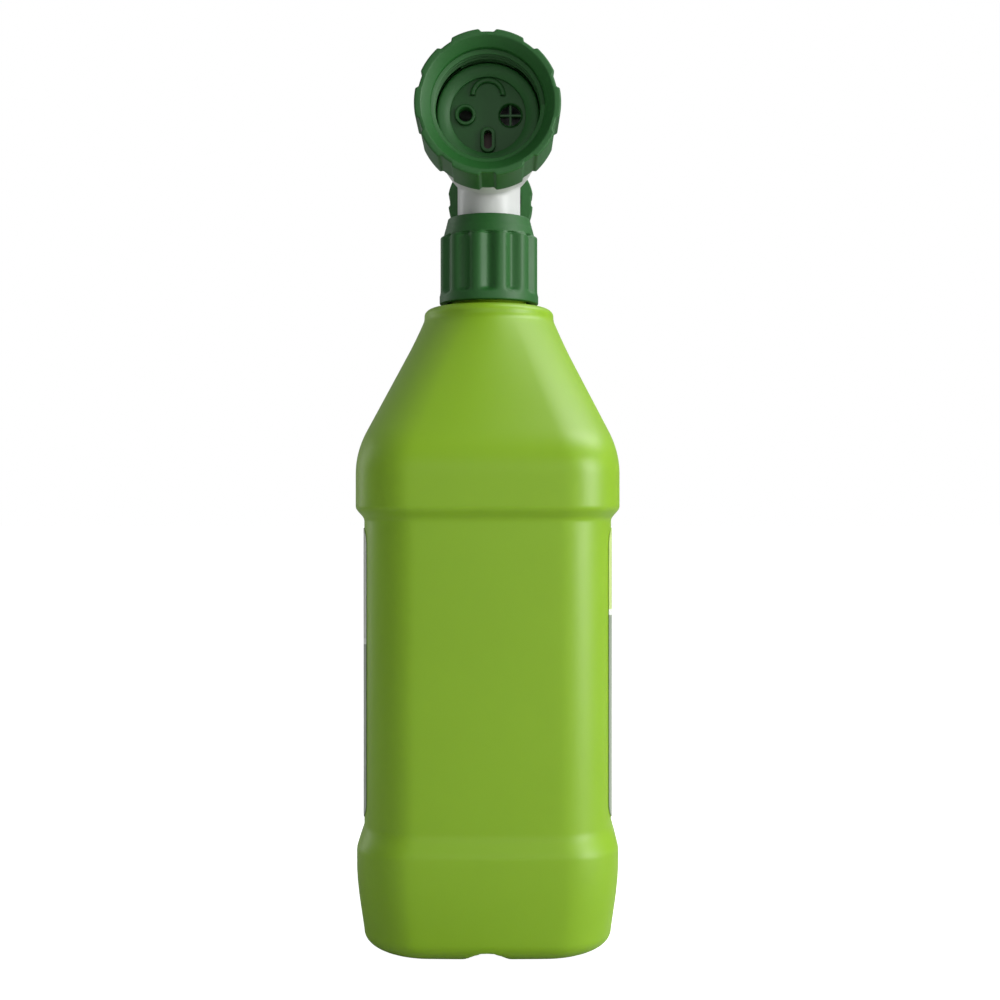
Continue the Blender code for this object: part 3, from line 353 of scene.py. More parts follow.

# %% [markdown]
# Some pieces are several shapes welded together by the mould, such as a plate with bosses and holes.
# They could be left as shapes that overlap, but then the mesh would hold hidden faces, so an exact Boolean
# joins or cuts them into one skin.
# The last helper puts a finished shape in its place and gives it its material and its body.

# %% Helpers for joining and finishing
def mesh_object(name, bm):
    """A new object in the scene from a bmesh, which is used up."""
    mesh = bpy.data.meshes.new(name)
    bm.to_mesh(mesh)
    bm.free()
    made = bpy.data.objects.new(name, mesh)
    bpy.context.scene.collection.objects.link(made)
    return made


def evaluated(name_of_step, bm, others=(), **settings):
    """Runs one modifier on a shape and returns the new shape. The shapes in others are used up."""
    target = mesh_object("work", bm)
    tools = [mesh_object("tool", other) for other in others]
    modifier = target.modifiers.new("step", name_of_step)
    for name, value in settings.items():
        setattr(modifier, name, value)
    if tools:
        modifier.object = tools[0]
    result = bmesh.new()
    result.from_object(target, bpy.context.evaluated_depsgraph_get())
    for used in [target, *tools]:
        bpy.data.meshes.remove(used.data)
    return result


def combined(bm, other, operation):
    """Joins or cuts two closed shapes with an exact Boolean. operation is UNION or DIFFERENCE."""
    return evaluated("BOOLEAN", bm, [other], operation=operation, solver="EXACT")


def finished(name, bm, material, body, slot, *stands_for, place=UPRIGHT, crease=35):
    """Puts a shape in its place as a piece that rides on a body and stands for CAD nodes."""
    bmesh.ops.transform(bm, matrix=place, verts=bm.verts)
    piece = mesh_object(name, bm)
    piece.data.materials.clear()
    piece.data.materials.append(material)
    for face in piece.data.polygons:
        face.material_index = 0
    piece.data.shade_smooth()
    piece.data.set_sharp_from_angle(angle=math.radians(crease))
    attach(piece, body)
    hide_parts(*stands_for)
    print(name, len(piece.data.vertices), "vertices,", len(piece.data.polygons), "faces")


# %% [markdown]
# ## The bottle
# The bottle is blown inside a split mould: a soft tube of plastic is closed in the mould and inflated until
# it meets the walls. So it is a skin of even thickness, with soft corners everywhere.
# It could be lofted from a list of sections. Here one rounded outline is drawn, and its edge is extruded
# upwards row by row. After each step the new ring is reshaped: pulled in for the heel, the panel and the
# bands, and blended from a rounded rectangle to a circle up the shoulder.

# %% The bottle's outline
CORNER_RADIUS = 14.0
SIDE_CROWN = 1.0                 # how far the middle of each side stands out, in mm
half_x = (bottle_high.x - bottle_low.x) / 2 / MM
half_y = (bottle_high.y - bottle_low.y) / 2 / MM
flat_x, flat_y = half_x - CORNER_RADIUS, half_y - CORNER_RADIUS
PLATFORM_SHARE = 20.5            # degrees of the platform's circle that each side's half becomes
FRONT_CUTS, SIDE_CUTS = 39, 45   # points added along each straight side of the outline


def bottle_outline():
    """The bottle's widest outline as one face at height 0."""
    bm = bmesh.new()
    bmesh.ops.create_grid(bm, x_segments=1, y_segments=1, size=0.5)
    bmesh.ops.scale(bm, vec=(2 * half_x * MM, 2 * half_y * MM, 1.0), verts=bm.verts)
    bmesh.ops.bevel(bm, geom=bm.verts[:], offset=CORNER_RADIUS * MM, offset_type="OFFSET", segments=22,
                    profile=0.5, affect="VERTICES", material=-1)
    for edge in [e for e in bm.edges if e.calc_length() > CORNER_RADIUS * MM]:
        along_front = abs(edge.verts[0].co.y - edge.verts[1].co.y) < 1e-6
        bmesh.ops.subdivide_edges(bm, edges=[edge], cuts=FRONT_CUTS if along_front else SIDE_CUTS)
    return bm


def crowned(x, y):
    """A point of the outline, with the sides bowed out a little as a blown bottle's are."""
    return (x * (1 - SIDE_CROWN / half_x * (y / half_y) ** 2),
            y * (1 - SIDE_CROWN / half_y * (x / half_x) ** 2))


def platform_angle(x, y):
    """Which way a point of the outline ends up on the round platform, in degrees."""
    across, along = abs(x), abs(y)
    if along <= flat_y:
        angle = PLATFORM_SHARE * along / flat_y
    elif across <= flat_x:
        angle = 90 - PLATFORM_SHARE * across / flat_x
    else:
        corner = math.degrees(math.atan2(along - flat_y, across - flat_x))
        angle = PLATFORM_SHARE + (90 - 2 * PLATFORM_SHARE) * corner / 90
    return math.radians(angle)


def ring_point(x, y, inset, roundness, circle):
    """Where a point of the widest outline stands in a ring with that inset and roundness, in mm."""
    bowed_x, bowed_y = crowned(x, y)
    flat = Vector((bowed_x * (half_x - inset) / half_x, bowed_y * (half_y - inset) / half_y))
    turn = platform_angle(x, y)
    round_ = Vector((math.copysign(circle * math.cos(turn), x), math.copysign(circle * math.sin(turn), y)))
    return flat.lerp(round_, roundness)


print(f"outline {2 * half_x:.1f} x {2 * half_y:.1f} mm")

# %% [markdown]
# The rows say how far the ring is pulled in at each height. The label panel is sunk 2 mm below the shoulder
# band and the base band, so a label is not rubbed on the shelf. The steps between them are soft, because
# blown plastic cannot fill a sharp corner.

# %% The bottle's rows
HEEL_HEIGHT, HEEL_DEPTH, HEEL_TAPER = 5.5, 7.6, 2.4
BAND_INSET, PANEL_INSET = 0.3, 2.0
BASE_BAND_MIDDLE, BASE_BAND_TOP, PANEL_BOTTOM = 22.0, 25.0, 31.0
BASE_DISH = ((28, 2.2), (22, 2.0), (17, 1.5), (14.5, 0.8), (12.5, 0.2))    # (inset, height) of the base
NECK_HEIGHT = 15.5
neck_top = bottle_high.z / MM
platform_top = neck_top - NECK_HEIGHT
SHOULDER_HEIGHT, PLATFORM_HEIGHT, PLATFORM_RADIUS, NECK_RADIUS = 42.7, 2.8, 17.5, 10.1
shoulder_end = platform_top - PLATFORM_HEIGHT
shoulder_start = shoulder_end - SHOULDER_HEIGHT
panel_top, band_bottom = shoulder_start - 11.4, shoulder_start - 8.0


def body_inset(height):
    """How far the body is pulled in at a height above the heel."""
    taper = HEEL_TAPER * (1 - smooth(HEEL_HEIGHT - 9, BASE_BAND_MIDDLE, height))
    step_in = smooth(BASE_BAND_TOP, PANEL_BOTTOM, height) - smooth(panel_top, band_bottom, height)
    band = BAND_INSET * (1 - smooth(panel_top, band_bottom, height))
    return band + taper + (PANEL_INSET - BAND_INSET) * step_in


heel_inset = body_inset(HEEL_HEIGHT)
rows = []
for inward, height in BASE_DISH:
    rows.append((height, inward, 0.0, NECK_RADIUS))
for index in range(13):
    angle = math.pi / 2 * index / 12
    rows.append((HEEL_HEIGHT * (1 - math.cos(angle)),
                 heel_inset + HEEL_DEPTH * (1 - math.sin(angle)), 0.0, 1.0))
height = HEEL_HEIGHT
while height < shoulder_start - 0.01:
    near_step = BASE_BAND_MIDDLE < height < PANEL_BOTTOM + 1 or panel_top - 1 < height < shoulder_start
    height = min(shoulder_start, height + (0.5 if near_step else 3.0))
    rows.append((height, body_inset(height), 0.0, 1.0))
print(len(rows), "rows up to the shoulder")

# %% [markdown]
# Up the shoulder the outline turns into the platform's circle. The change starts softly, so the corner flows
# out of the upright side, and ends almost at once, where a small rounded step carries the platform.

# %% The shoulder, the platform and the neck
SHOULDER_START_EASE, SHOULDER_END_EASE = 0.25, 0.03    # shares of the shoulder that are its soft ends
SHOULDER_ROWS = 52
PLATFORM_EDGE_WIDTH, PLATFORM_EDGE_HEIGHT = 3.3, 2.2   # its rounded edge, in mm


def shoulder_share(part):
    """How far the outline has turned into a circle, at a share of the shoulder's height."""
    slope = 1 / (1 - SHOULDER_START_EASE / 2 - SHOULDER_END_EASE / 2)
    if part < SHOULDER_START_EASE:
        return slope * part * part / (2 * SHOULDER_START_EASE)
    if part > 1 - SHOULDER_END_EASE:
        return 1 - slope * (1 - part) ** 2 / (2 * SHOULDER_END_EASE)
    return slope * (part - SHOULDER_START_EASE / 2)


for index in range(1, SHOULDER_ROWS + 1):
    part = index / SHOULDER_ROWS
    rows.append((shoulder_start + part * SHOULDER_HEIGHT, 0.0, shoulder_share(part), PLATFORM_RADIUS))
for index in range(11):
    angle = math.pi / 2 * index / 12
    rows.append((platform_top - PLATFORM_EDGE_HEIGHT * (1 - math.sin(angle)), 0.0, 1.0,
                 PLATFORM_RADIUS - PLATFORM_EDGE_WIDTH * (1 - math.cos(angle))))
for drop, radius in ((0.2, NECK_RADIUS + 0.6), (0.7, NECK_RADIUS + 0.1), (1.2, NECK_RADIUS)):
    rows.append((platform_top + drop, 0.0, 1.0, radius))
for rise in (4.0, 8.0, 12.0, NECK_HEIGHT - 0.4):
    rows.append((platform_top + rise, 0.0, 1.0, NECK_RADIUS))
rows.append((neck_top, 0.0, 1.0, NECK_RADIUS - 0.35))
print(len(rows), "rows in all")

# %% [markdown]
# Under the bottle the base is pushed up, so that it stands on its rim, and a shallow arch runs across it
# from front to back where the mould's two halves pinch the tube shut.

# %% Raise the skin of the bottle
GROOVE_HALF_WIDTH, GROOVE_HEIGHT = 6.6, 2.8


def base_arch(x_mm):
    """Height of the arch under the base."""
    return GROOVE_HEIGHT * max(0.0, 1 - (x_mm / GROOVE_HALF_WIDTH) ** 2) ** 1.5


bm = bottle_outline()
outline = bm.verts.layers.float_vector.new("outline")
for v in bm.verts:
    v[outline] = v.co / MM
ring, edges = list(bm.verts), list(bm.edges)
for number, (height, inset, roundness, circle) in enumerate(rows):
    if number:
        grown = bmesh.ops.extrude_edge_only(bm, edges=edges)["geom"]
        ring = [item for item in grown if isinstance(item, bmesh.types.BMVert)]
        edges = [item for item in grown if isinstance(item, bmesh.types.BMEdge) and item.is_boundary]
    for v in ring:
        across, along = ring_point(v[outline].x, v[outline].y, inset, roundness, circle)
        lift = base_arch(across) if height < HEEL_HEIGHT else 0.0
        v.co = Vector((across, along, max(height, lift))) * MM
bm.verts.layers.float_vector.remove(outline)
bmesh.ops.recalc_face_normals(bm, faces=bm.faces)
print("skin:", len(bm.faces), "faces")

# %% [markdown]
# The skin gets its wall from a Solidify modifier. The neck's screw thread is a ridge swept one and a half
# turns up the neck. It stays a piece of its own with its root sunk in the wall, because an exact Boolean
# needs a clean solid, and a thin skin that is folded at its base isn't one.

# %% Give it a wall and its thread
BOTTLE_WALL = 1.2
THREAD_PITCH, THREAD_TURNS, THREAD_DEPTH, THREAD_START = 3.175, 1.5, 1.0, 5.6


def thread_section(root, crest, middle, root_width, crest_width):
    """Corners of a screw thread's ridge, which starts inside the wall that carries it."""
    sink = math.copysign(0.3, root - crest)
    return [(root + sink, middle - root_width / 2, 0), (crest, middle - crest_width / 2, 0.15),
            (crest, middle + crest_width / 2, 0.15), (root + sink, middle + root_width / 2, 0)]


bm = evaluated("SOLIDIFY", bm, thickness=BOTTLE_WALL * MM, offset=-1.0)
section = thread_section(NECK_RADIUS, NECK_RADIUS + THREAD_DEPTH, platform_top + THREAD_START, 1.4, 0.7)
ridge = swept(section, 0.0, 360 * THREAD_TURNS, 180, rise_mm=THREAD_TURNS * THREAD_PITCH)
finished("bottle_blown", bm, lime_hdpe, "bottle", "lime_plastic", "bottle", crease=50)
finished("bottle_thread", ridge, lime_hdpe, "bottle", "lime_plastic", "bottle")

# %% [markdown]
# ## The labels
# A label is a flat sheet of film with rounded corners. It is drawn flat, its corners are clipped with a few
# planes, and only then is it laid round the panel, so that its shape stays that of a cut sheet.
# It carries generic fields of colour and no lettering.

# %% Lay the labels
LABEL_HALF_WIDTH, LABEL_MARGIN, LABEL_CORNER = 51.0, 0.6, 4.0
LABEL_THICKNESS, LABEL_GAP = 0.16, 0.05
label_low, label_high = span("label_right")


def label_sheet():
    """A flat sheet with rounded corners: X runs along the panel and Y up it."""
    half_height = (label_high - label_low) / 2
    bm = bmesh.new()
    bmesh.ops.create_grid(bm, x_segments=100, y_segments=60, size=0.5)
    bmesh.ops.scale(bm, vec=(2 * LABEL_HALF_WIDTH * MM, 2 * half_height * MM, 1.0), verts=bm.verts)
    for side in (-1, 1):
        for end in (-1, 1):
            centre = Vector((side * (LABEL_HALF_WIDTH - LABEL_CORNER), end * (half_height - LABEL_CORNER), 0))
            for turn in (15, 30, 45, 60, 75):
                outward = Vector((side * math.cos(math.radians(turn)), end * math.sin(math.radians(turn)), 0))
                geometry = bm.verts[:] + bm.edges[:] + bm.faces[:]
                bmesh.ops.bisect_plane(bm, geom=geometry, dist=1e-8, plane_no=outward, clear_outer=True,
                                       plane_co=(centre + LABEL_CORNER * outward) * MM)
    return bm


def label_point(along, height, side):
    """Where a point of the sheet lies on the panel, on the +X or the -X side, in mm."""
    turn = max(0.0, abs(along) - flat_y) / CORNER_RADIUS
    wide_x = flat_x + CORNER_RADIUS * math.cos(turn)
    wide_y = math.copysign(min(abs(along), flat_y) + CORNER_RADIUS * math.sin(turn), along)
    across, deep = ring_point(wide_x, wide_y, PANEL_INSET - LABEL_GAP - LABEL_THICKNESS, 0.0, 1.0)
    return Vector((side * across, deep, height))


def make_label(name, side, material, node):
    bm = label_sheet()
    middle_height = (label_low + label_high) / 2
    for v in bm.verts:
        v.co = label_point(v.co.x / MM, middle_height + v.co.y / MM, side) * MM
    if side < 0:
        bmesh.ops.reverse_faces(bm, faces=bm.faces)
    bm.normal_update()
    bm = evaluated("SOLIDIFY", bm, thickness=LABEL_THICKNESS * MM, offset=-1.0)
    finished(name, bm, material, "bottle", "label_film", node)


def printed_film(name, upper, lower, split_mm, wave_mm):
    """Polypropylene film, printed and varnished: a lower field with a wavy white edge under an upper one."""
    material = bpy.data.materials.new(name)
    material.use_nodes = True
    tree = material.node_tree
    shader = tree.nodes["Principled BSDF"]
    place = add_node(tree, "TexCoord").outputs["Object"]
    parts = add_node(tree, "SeparateXYZ", {"Vector": place})
    swing = add_node(tree, "Math", {0: parts.outputs["Y"], 1: FULL_TURN / (90 * MM)}, operation="MULTIPLY")
    wave = add_node(tree, "Math", {0: swing.outputs["Value"]}, operation="SINE")
    edge = add_node(tree, "Math", {0: wave.outputs["Value"], 1: wave_mm * MM, 2: split_mm * MM},
                    operation="MULTIPLY_ADD")
    above = add_node(tree, "Math", {0: parts.outputs["Z"], 1: edge.outputs["Value"]}, operation="SUBTRACT")
    field = add_node(tree, "MapRange", {"Value": above.outputs["Value"], "From Min": 0.0,
                                        "From Max": 0.1 * MM})
    stripe = add_node(tree, "MapRange", {"Value": above.outputs["Value"], "From Min": 1.4 * MM,
                                         "From Max": 1.5 * MM})
    low_part = add_node(tree, "Mix", {"Factor": field.outputs["Result"], 6: srgb(lower),
                                      7: srgb("#EDEEEA")}, data_type="RGBA")
    print_ = add_node(tree, "Mix", {"Factor": stripe.outputs["Result"], 6: low_part.outputs[2],
                                    7: srgb(upper)}, data_type="RGBA")
    tree.links.new(print_.outputs[2], shader.inputs["Base Color"])
    handling = add_node(tree, "TexNoise", {"Vector": place, "Scale": 1 / (20 * MM), "Detail": 2.0})
    shine = add_node(tree, "MapRange", {"Value": handling.outputs["Fac"], "To Min": 0.28, "To Max": 0.34})
    tree.links.new(shine.outputs["Result"], shader.inputs["Roughness"])
    return material


label_print = printed_film("printed_film_two_fields", "#C6DC86", "#8E9C86", 80.0, 2.0)
label_plain = printed_film("printed_film_pale_fields", "#D9DAD6", "#A3ABA0", 72.0, 3.0)
make_label("label_film_right", 1, label_print, "label_right")
make_label("label_film_left", -1, label_plain, "label_left")

# %% [markdown]
# ## The collar
# The collar screws the head to the bottle. Its grooves give the fingers a grip. They could be cut with
# twelve cutters, but a moulded groove has soft flanks and a soft end, so the turned wall is made fine
# enough and each point is moved in by how deep it lies in the nearest groove.

# %% Turn the collar
COLLAR_RADIUS, COLLAR_BORE = 13.4, 11.5
COLLAR_RIBS, GROOVE_END, GROOVE_DEPTH = 12, 1.2, 1.4
collar_low, collar_high = span("collar")
cone_low, shelf = collar_high - 5.2, collar_high - 4.1


def groove_cut(radius, angle, height):
    """How far a point of the collar's outside is pushed in by the nearest groove."""
    spacing = 360 / COLLAR_RIBS
    off = abs((angle + 90 + spacing / 2) % spacing - spacing / 2)
    across = (0.5 + 0.5 * math.cos(FULL_TURN * off / spacing)) ** 1.4
    along = smooth(collar_low + 2.2, collar_low + 2.2 + GROOVE_END, height)
    return -GROOVE_DEPTH * across * along * smooth(12.2, COLLAR_RADIUS - 0.3, radius)


def ring_marks(radius, angle, height):
    """Three fine turned lines near the top of the cone."""
    line = sum(math.exp(-((height - collar_high + drop) / 0.16) ** 2) for drop in (0.9, 1.7, 2.5))
    return -0.10 * line if radius > 10.95 and height > cone_low + 1 else 0.0


bm = spun([(11.1, collar_high, 0.35), (12.3, cone_low + 0.5, 0.25), (COLLAR_RADIUS, cone_low - 0.2, 0.35),
           (COLLAR_RADIUS, collar_low, 0.35), (COLLAR_BORE, collar_low, 0.35), (COLLAR_BORE, shelf, 0),
           (8.8, shelf, 0), (8.8, collar_high, 0.35)], steps=480, longest_mm=0.45)
move_radially(bm, groove_cut)
move_radially(bm, ring_marks)
thread_middle = platform_top + THREAD_START - 1.35    # just under the neck's thread
section = thread_section(COLLAR_BORE, COLLAR_BORE - THREAD_DEPTH, thread_middle, 1.4, 0.7)
ridge = swept(section, 0.0, 360 * THREAD_TURNS, 180, rise_mm=THREAD_TURNS * THREAD_PITCH)
bm = combined(bm, ridge, "UNION")
finished("collar_grooved", bm, green_pp, "collar", "green_plastic", "collar")

# %% [markdown]
# ## The hose nut
# The nut is turned with a chamfered mouth, like every garden hose nut, so that the hose finds its thread.
# Ten broad lugs stand between shallow notches. Inside, a thread of 11.5 turns to the inch carries the hose,
# and a ledge behind it, with three snap pockets, closes up round the inlet's flange.

# %% Turn the hose nut
NUT_RADIUS, NUT_LUG_HEIGHT, NUT_BORE, NUT_MOUTH_RADIUS = 17.0, 0.7, 13.8, 16.1
HOSE_PITCH, HOSE_TURNS, HOSE_DEPTH = 2.209, 3.5, 1.0
nut_front, nut_rear = span("hose_nut", along_barrel=True)
nut_wall = nut_rear - 1.5
ledge = nut_wall - 4.4


def nut_notches(radius, angle, height):
    outside = smooth(16.0, 16.9, radius)
    return -NUT_LUG_HEIGHT * notch(angle, -90.0, 36.0, 12.0, 2.6) * outside


bm = spun([(NUT_RADIUS + NUT_LUG_HEIGHT, nut_rear, 0.5), (NUT_RADIUS + NUT_LUG_HEIGHT, nut_front, 0.5),
           (NUT_MOUTH_RADIUS, nut_front, 0.25), (NUT_BORE, nut_front + 2.6, 0.25), (NUT_BORE, ledge, 0.25),
           (13.05, ledge, 0.15), (13.05, nut_wall, 0), (10.9, nut_wall, 0.25), (10.9, nut_rear, 0.25)],
          steps=480, longest_mm=1.5)
move_radially(bm, nut_notches)
section = thread_section(NUT_BORE, NUT_BORE - HOSE_DEPTH, nut_front + 3.25, 1.3, 0.45)
ridge = swept(section, 0.0, 360 * HOSE_TURNS, 420, rise_mm=HOSE_TURNS * HOSE_PITCH)
bm = combined(bm, ridge, "UNION")
for centre in (-30, 90, 210):
    pocket = swept([(13.15, ledge - 0.2, 0), (13.95, ledge - 0.2, 0), (13.95, ledge + 3.0, 0),
                    (13.15, ledge + 3.0, 0)], centre - 30, 60, 40)
    bm = combined(bm, pocket, "DIFFERENCE")
finished("hose_nut_lugged", bm, green_pp, "hose_nut", "green_plastic", "hose_nut", place=ALONG_BARREL)

# %% [markdown]
# ## The hose seat
# A soft ring and a round plate close the barrel's mouth. The plate has a plain port, a port with a cross in
# it, a slot that leads to the backflow valve, and an arched rib over them.
# Ports are cut with flared cutters, so that their rims are broken the way a moulded hole's rim is.

# %% Mould the inlet plate
PORT_OFFSET, OPEN_PORT, BARRED_PORT, BOSS_HEIGHT = 5.6, 1.65, 2.65, 1.2
SLOT_DROP, SLOT_HALF_WIDTH, SLOT_HALF_HEIGHT, SLOT_RIM = 6.2, 1.0, 2.3, 0.85
ARCH_RISE, ARCH_RADIUS, ARCH_WIDTH = 4.9, 4.4, 1.3
PLATE_RADIUS, PLATE_THICKNESS, BAR_WIDTH = 10.9, 2.0, 0.5
plate_face = span("inlet_plate", along_barrel=True)[0] + BOSS_HEIGHT
plate_back = plate_face + PLATE_THICKNESS
boss_front = plate_face - BOSS_HEIGHT


def port_cutter(radius, mouth):
    """A cutter for a round hole through the plate, flared at its mouth."""
    return spun([(0, mouth - 2, 0), (radius + 0.3, mouth - 2, 0), (radius + 0.3, mouth, 0),
                 (radius, mouth + 0.3, 0.2), (radius, plate_back + 1, 0), (0, plate_back + 1, 0)],
                steps=64)


def slot_block(half_width, half_height, low, high, rounding):
    """An upright block with round ends, with its front edge rounded."""
    bm = bmesh.new()
    bmesh.ops.create_grid(bm, x_segments=1, y_segments=1, size=0.5)
    bmesh.ops.scale(bm, vec=(2 * half_width * MM, 2 * half_height * MM, 1), verts=bm.verts)
    bmesh.ops.bevel(bm, geom=bm.verts[:], offset=0.95 * half_width * MM, offset_type="OFFSET", segments=8,
                    profile=0.5, affect="VERTICES", material=-1)
    bmesh.ops.translate(bm, vec=(0, SLOT_DROP * MM, low * MM), verts=bm.verts)
    rim = bm.edges[:]
    grown = bmesh.ops.extrude_face_region(bm, geom=bm.faces[:], use_keep_orig=True)["geom"]
    moved = [item for item in grown if isinstance(item, bmesh.types.BMVert)]
    bmesh.ops.translate(bm, vec=(0, 0, (high - low) * MM), verts=moved)
    if rounding:
        bmesh.ops.bevel(bm, geom=rim, offset=rounding * MM, offset_type="OFFSET", segments=3, profile=0.5,
                        affect="EDGES", material=-1)
    bmesh.ops.recalc_face_normals(bm, faces=bm.faces)
    return bm


def bar(width, height, low, high):
    """A small square bar across the barred port."""
    bm = bmesh.new()
    bmesh.ops.create_cube(bm, size=1.0)
    bmesh.ops.scale(bm, vec=(width * MM, height * MM, (high - low) * MM), verts=bm.verts)
    bmesh.ops.translate(bm, vec=(PORT_OFFSET * MM, 0, (low + high) / 2 * MM), verts=bm.verts)
    return bm


def shifted(bm, right=0.0, up=0.0):
    """Moves a shape on the barrel's face, where up is -Y before the piece is laid along the barrel."""
    bmesh.ops.translate(bm, vec=(right * MM, -up * MM, 0), verts=bm.verts)
    return bm


bm = spun([(0, plate_face, 0), (PLATE_RADIUS, plate_face, 0.25), (PLATE_RADIUS, plate_back, 0.25),
           (0, plate_back, 0)], steps=160)
for where, radius, raised in ((-PORT_OFFSET, 2.6, BOSS_HEIGHT), (PORT_OFFSET, 3.05, 0.5)):
    boss = spun([(0, plate_face - raised, 0), (radius, plate_face - raised, 0.3),
                 (radius, plate_face + 0.3, 0), (0, plate_face + 0.3, 0)], steps=80)
    bm = combined(bm, shifted(boss, right=where), "UNION")
rim = slot_block(SLOT_HALF_WIDTH + SLOT_RIM, SLOT_HALF_HEIGHT + SLOT_RIM,
                 boss_front, plate_face + 0.3, 0.25)
bm = combined(bm, rim, "UNION")
arch = swept([(ARCH_RADIUS - ARCH_WIDTH, boss_front, 0.5), (ARCH_RADIUS, boss_front, 0.5),
              (ARCH_RADIUS, plate_face + 0.3, 0), (ARCH_RADIUS - ARCH_WIDTH, plate_face + 0.3, 0)],
             180, 180, 48)
bm = combined(bm, shifted(arch, up=ARCH_RISE), "UNION")
bm = combined(bm, shifted(port_cutter(OPEN_PORT, boss_front), right=-PORT_OFFSET), "DIFFERENCE")
bm = combined(bm, shifted(port_cutter(BARRED_PORT, plate_face - 0.5), right=PORT_OFFSET), "DIFFERENCE")
opening = slot_block(SLOT_HALF_WIDTH, SLOT_HALF_HEIGHT, boss_front - 1, plate_back + 1, 0)
bm = combined(bm, opening, "DIFFERENCE")
reach = 2 * BARRED_PORT + 0.4
bm = combined(bm, bar(reach, BAR_WIDTH, plate_face + 0.15, plate_back - 0.15), "UNION")
bm = combined(bm, bar(BAR_WIDTH, reach, plate_face + 0.3, plate_back - 0.3), "UNION")
finished("inlet_plate_ported", bm, green_pp, "head", "green_plastic", "inlet_plate", place=ALONG_BARREL)

# %% [markdown]
# The soft ring round the plate is dished towards its bore, as a seat is that a hose's rim has to find.
# Its back steps over the plate's edge and holds the plate in.

# %% Mould the hose washer
WASHER_RADIUS, WASHER_BORE, WASHER_DISH = 12.75, 9.4, 0.9
PLATE_LAP = PLATE_RADIUS + 0.3
washer_front, washer_back = span("hose_washer", along_barrel=True)
lap_front = washer_back - 0.25
bm = spun([(WASHER_RADIUS, washer_back, 0.2), (WASHER_RADIUS, washer_front, 0.5), (11.1, washer_front, 0.9),
           (WASHER_BORE, washer_front + WASHER_DISH, 0.15), (WASHER_BORE, lap_front, 0),
           (PLATE_LAP, lap_front, 0), (PLATE_LAP, washer_back, 0)], steps=200)
finished("hose_washer_ring", bm, green_tpe, "head", "green_rubber", "hose_washer", place=ALONG_BARREL)

# %% [markdown]
# ## The spraying head
# The white body is one moulding: a barrel with a shroud behind the nut, a neck, and a plug that fills the
# bottle's mouth. Where barrel and neck meet, the mould has a generous fillet. An exact union gives only the
# sharp line, so the joined shape is remeshed with small voxels and smoothed there, and the ends that fit
# other pieces are added after that, so they stay crisp.

# %% Mould the head's core
VOXEL, SMOOTHING_PASSES = 0.45, 4
SHROUD_RADIUS, WAIST_RADIUS, TUBE_RADIUS = 15.6, 12.5, 9.2
HEAD_NECK_RADIUS, PLUG_RADIUS = 8.5, 7.6
body_low = span("sprayer_body")[0]
body_front, body_rear = span("sprayer_body", along_barrel=True)
knob_front, knob_rear = span("selector_knob", along_barrel=True)
axis_height = barrel_z / MM
flange_top = collar_high - 4.4
flange_bottom = flange_top - 2.2
shroud_front = nut_rear + 0.3
nose_start = knob_front - 0.3


def upright(bm):
    """Brings a shape drawn along the barrel to where it belongs above the bottle's axis."""
    bmesh.ops.transform(bm, matrix=UPRIGHT.inverted() @ ALONG_BARREL, verts=bm.verts)
    return bm


barrel = spun([(0, nose_start - 0.5, 0), (TUBE_RADIUS, nose_start - 0.5, 0), (TUBE_RADIUS, 15, 4.0),
               (WAIST_RADIUS, 9, 3.0), (SHROUD_RADIUS, shroud_front + 5, 1.2),
               (SHROUD_RADIUS, shroud_front, 0.8), (0, shroud_front, 0)], steps=160)
column = spun([(0, axis_height - 5, 0), (HEAD_NECK_RADIUS, axis_height - 5, 0),
               (HEAD_NECK_RADIUS, flange_top - 0.5, 0), (0, flange_top - 0.5, 0)], steps=120)
bm = combined(upright(barrel), column, "UNION")
bm = evaluated("REMESH", bm, mode="VOXEL", voxel_size=VOXEL * MM, use_smooth_shade=True)
for _ in range(SMOOTHING_PASSES):
    bmesh.ops.smooth_vert(bm, verts=bm.verts, factor=0.5, use_axis_x=True, use_axis_y=True, use_axis_z=True)
print("core:", len(bm.faces), "faces")

# %% [markdown]
# The inlet's flange, the nose with its ring groove, and the plug are added crisp. Then the water's way
# through the barrel, the dip tube's socket, the valve's guide and the vent are cut, each wider than what
# it holds by a small clearance.

# %% Add the ends and cut the bores
snout = spun([(10.6, shroud_front + 1, 0), (10.6, body_front + 2.9, 0), (12.9, body_front + 2.9, 0.25),
              (12.9, body_front, 0.25), (0, body_front, 0), (0, shroud_front + 1, 0)], steps=160)
bm = combined(bm, upright(snout), "UNION")
groove_middle, groove_half = nose_start + 2.25, 1.1
nose = spun([(0, nose_start - 1, 0), (9.1, nose_start - 1, 0), (9.1, nose_start, 0), (9.3, nose_start, 0),
             (9.3, groove_middle - groove_half, 0.1), (7.3, groove_middle - groove_half, 0.1),
             (7.3, groove_middle + groove_half, 0.1), (9.3, groove_middle + groove_half, 0.1),
             (9.3, body_rear, 0.3), (0, body_rear, 0)], steps=160)
bm = combined(bm, upright(nose), "UNION")
plug = spun([(0, flange_top + 1, 0), (HEAD_NECK_RADIUS - 0.3, flange_top + 1, 0),
             (HEAD_NECK_RADIUS - 0.3, flange_top, 0), (11.0, flange_top, 0.3),
             (11.0, flange_bottom, 0.3), (PLUG_RADIUS, flange_bottom, 0), (PLUG_RADIUS, body_low, 0.6),
             (0, body_low, 0)], steps=160)
bm = combined(bm, plug, "UNION")

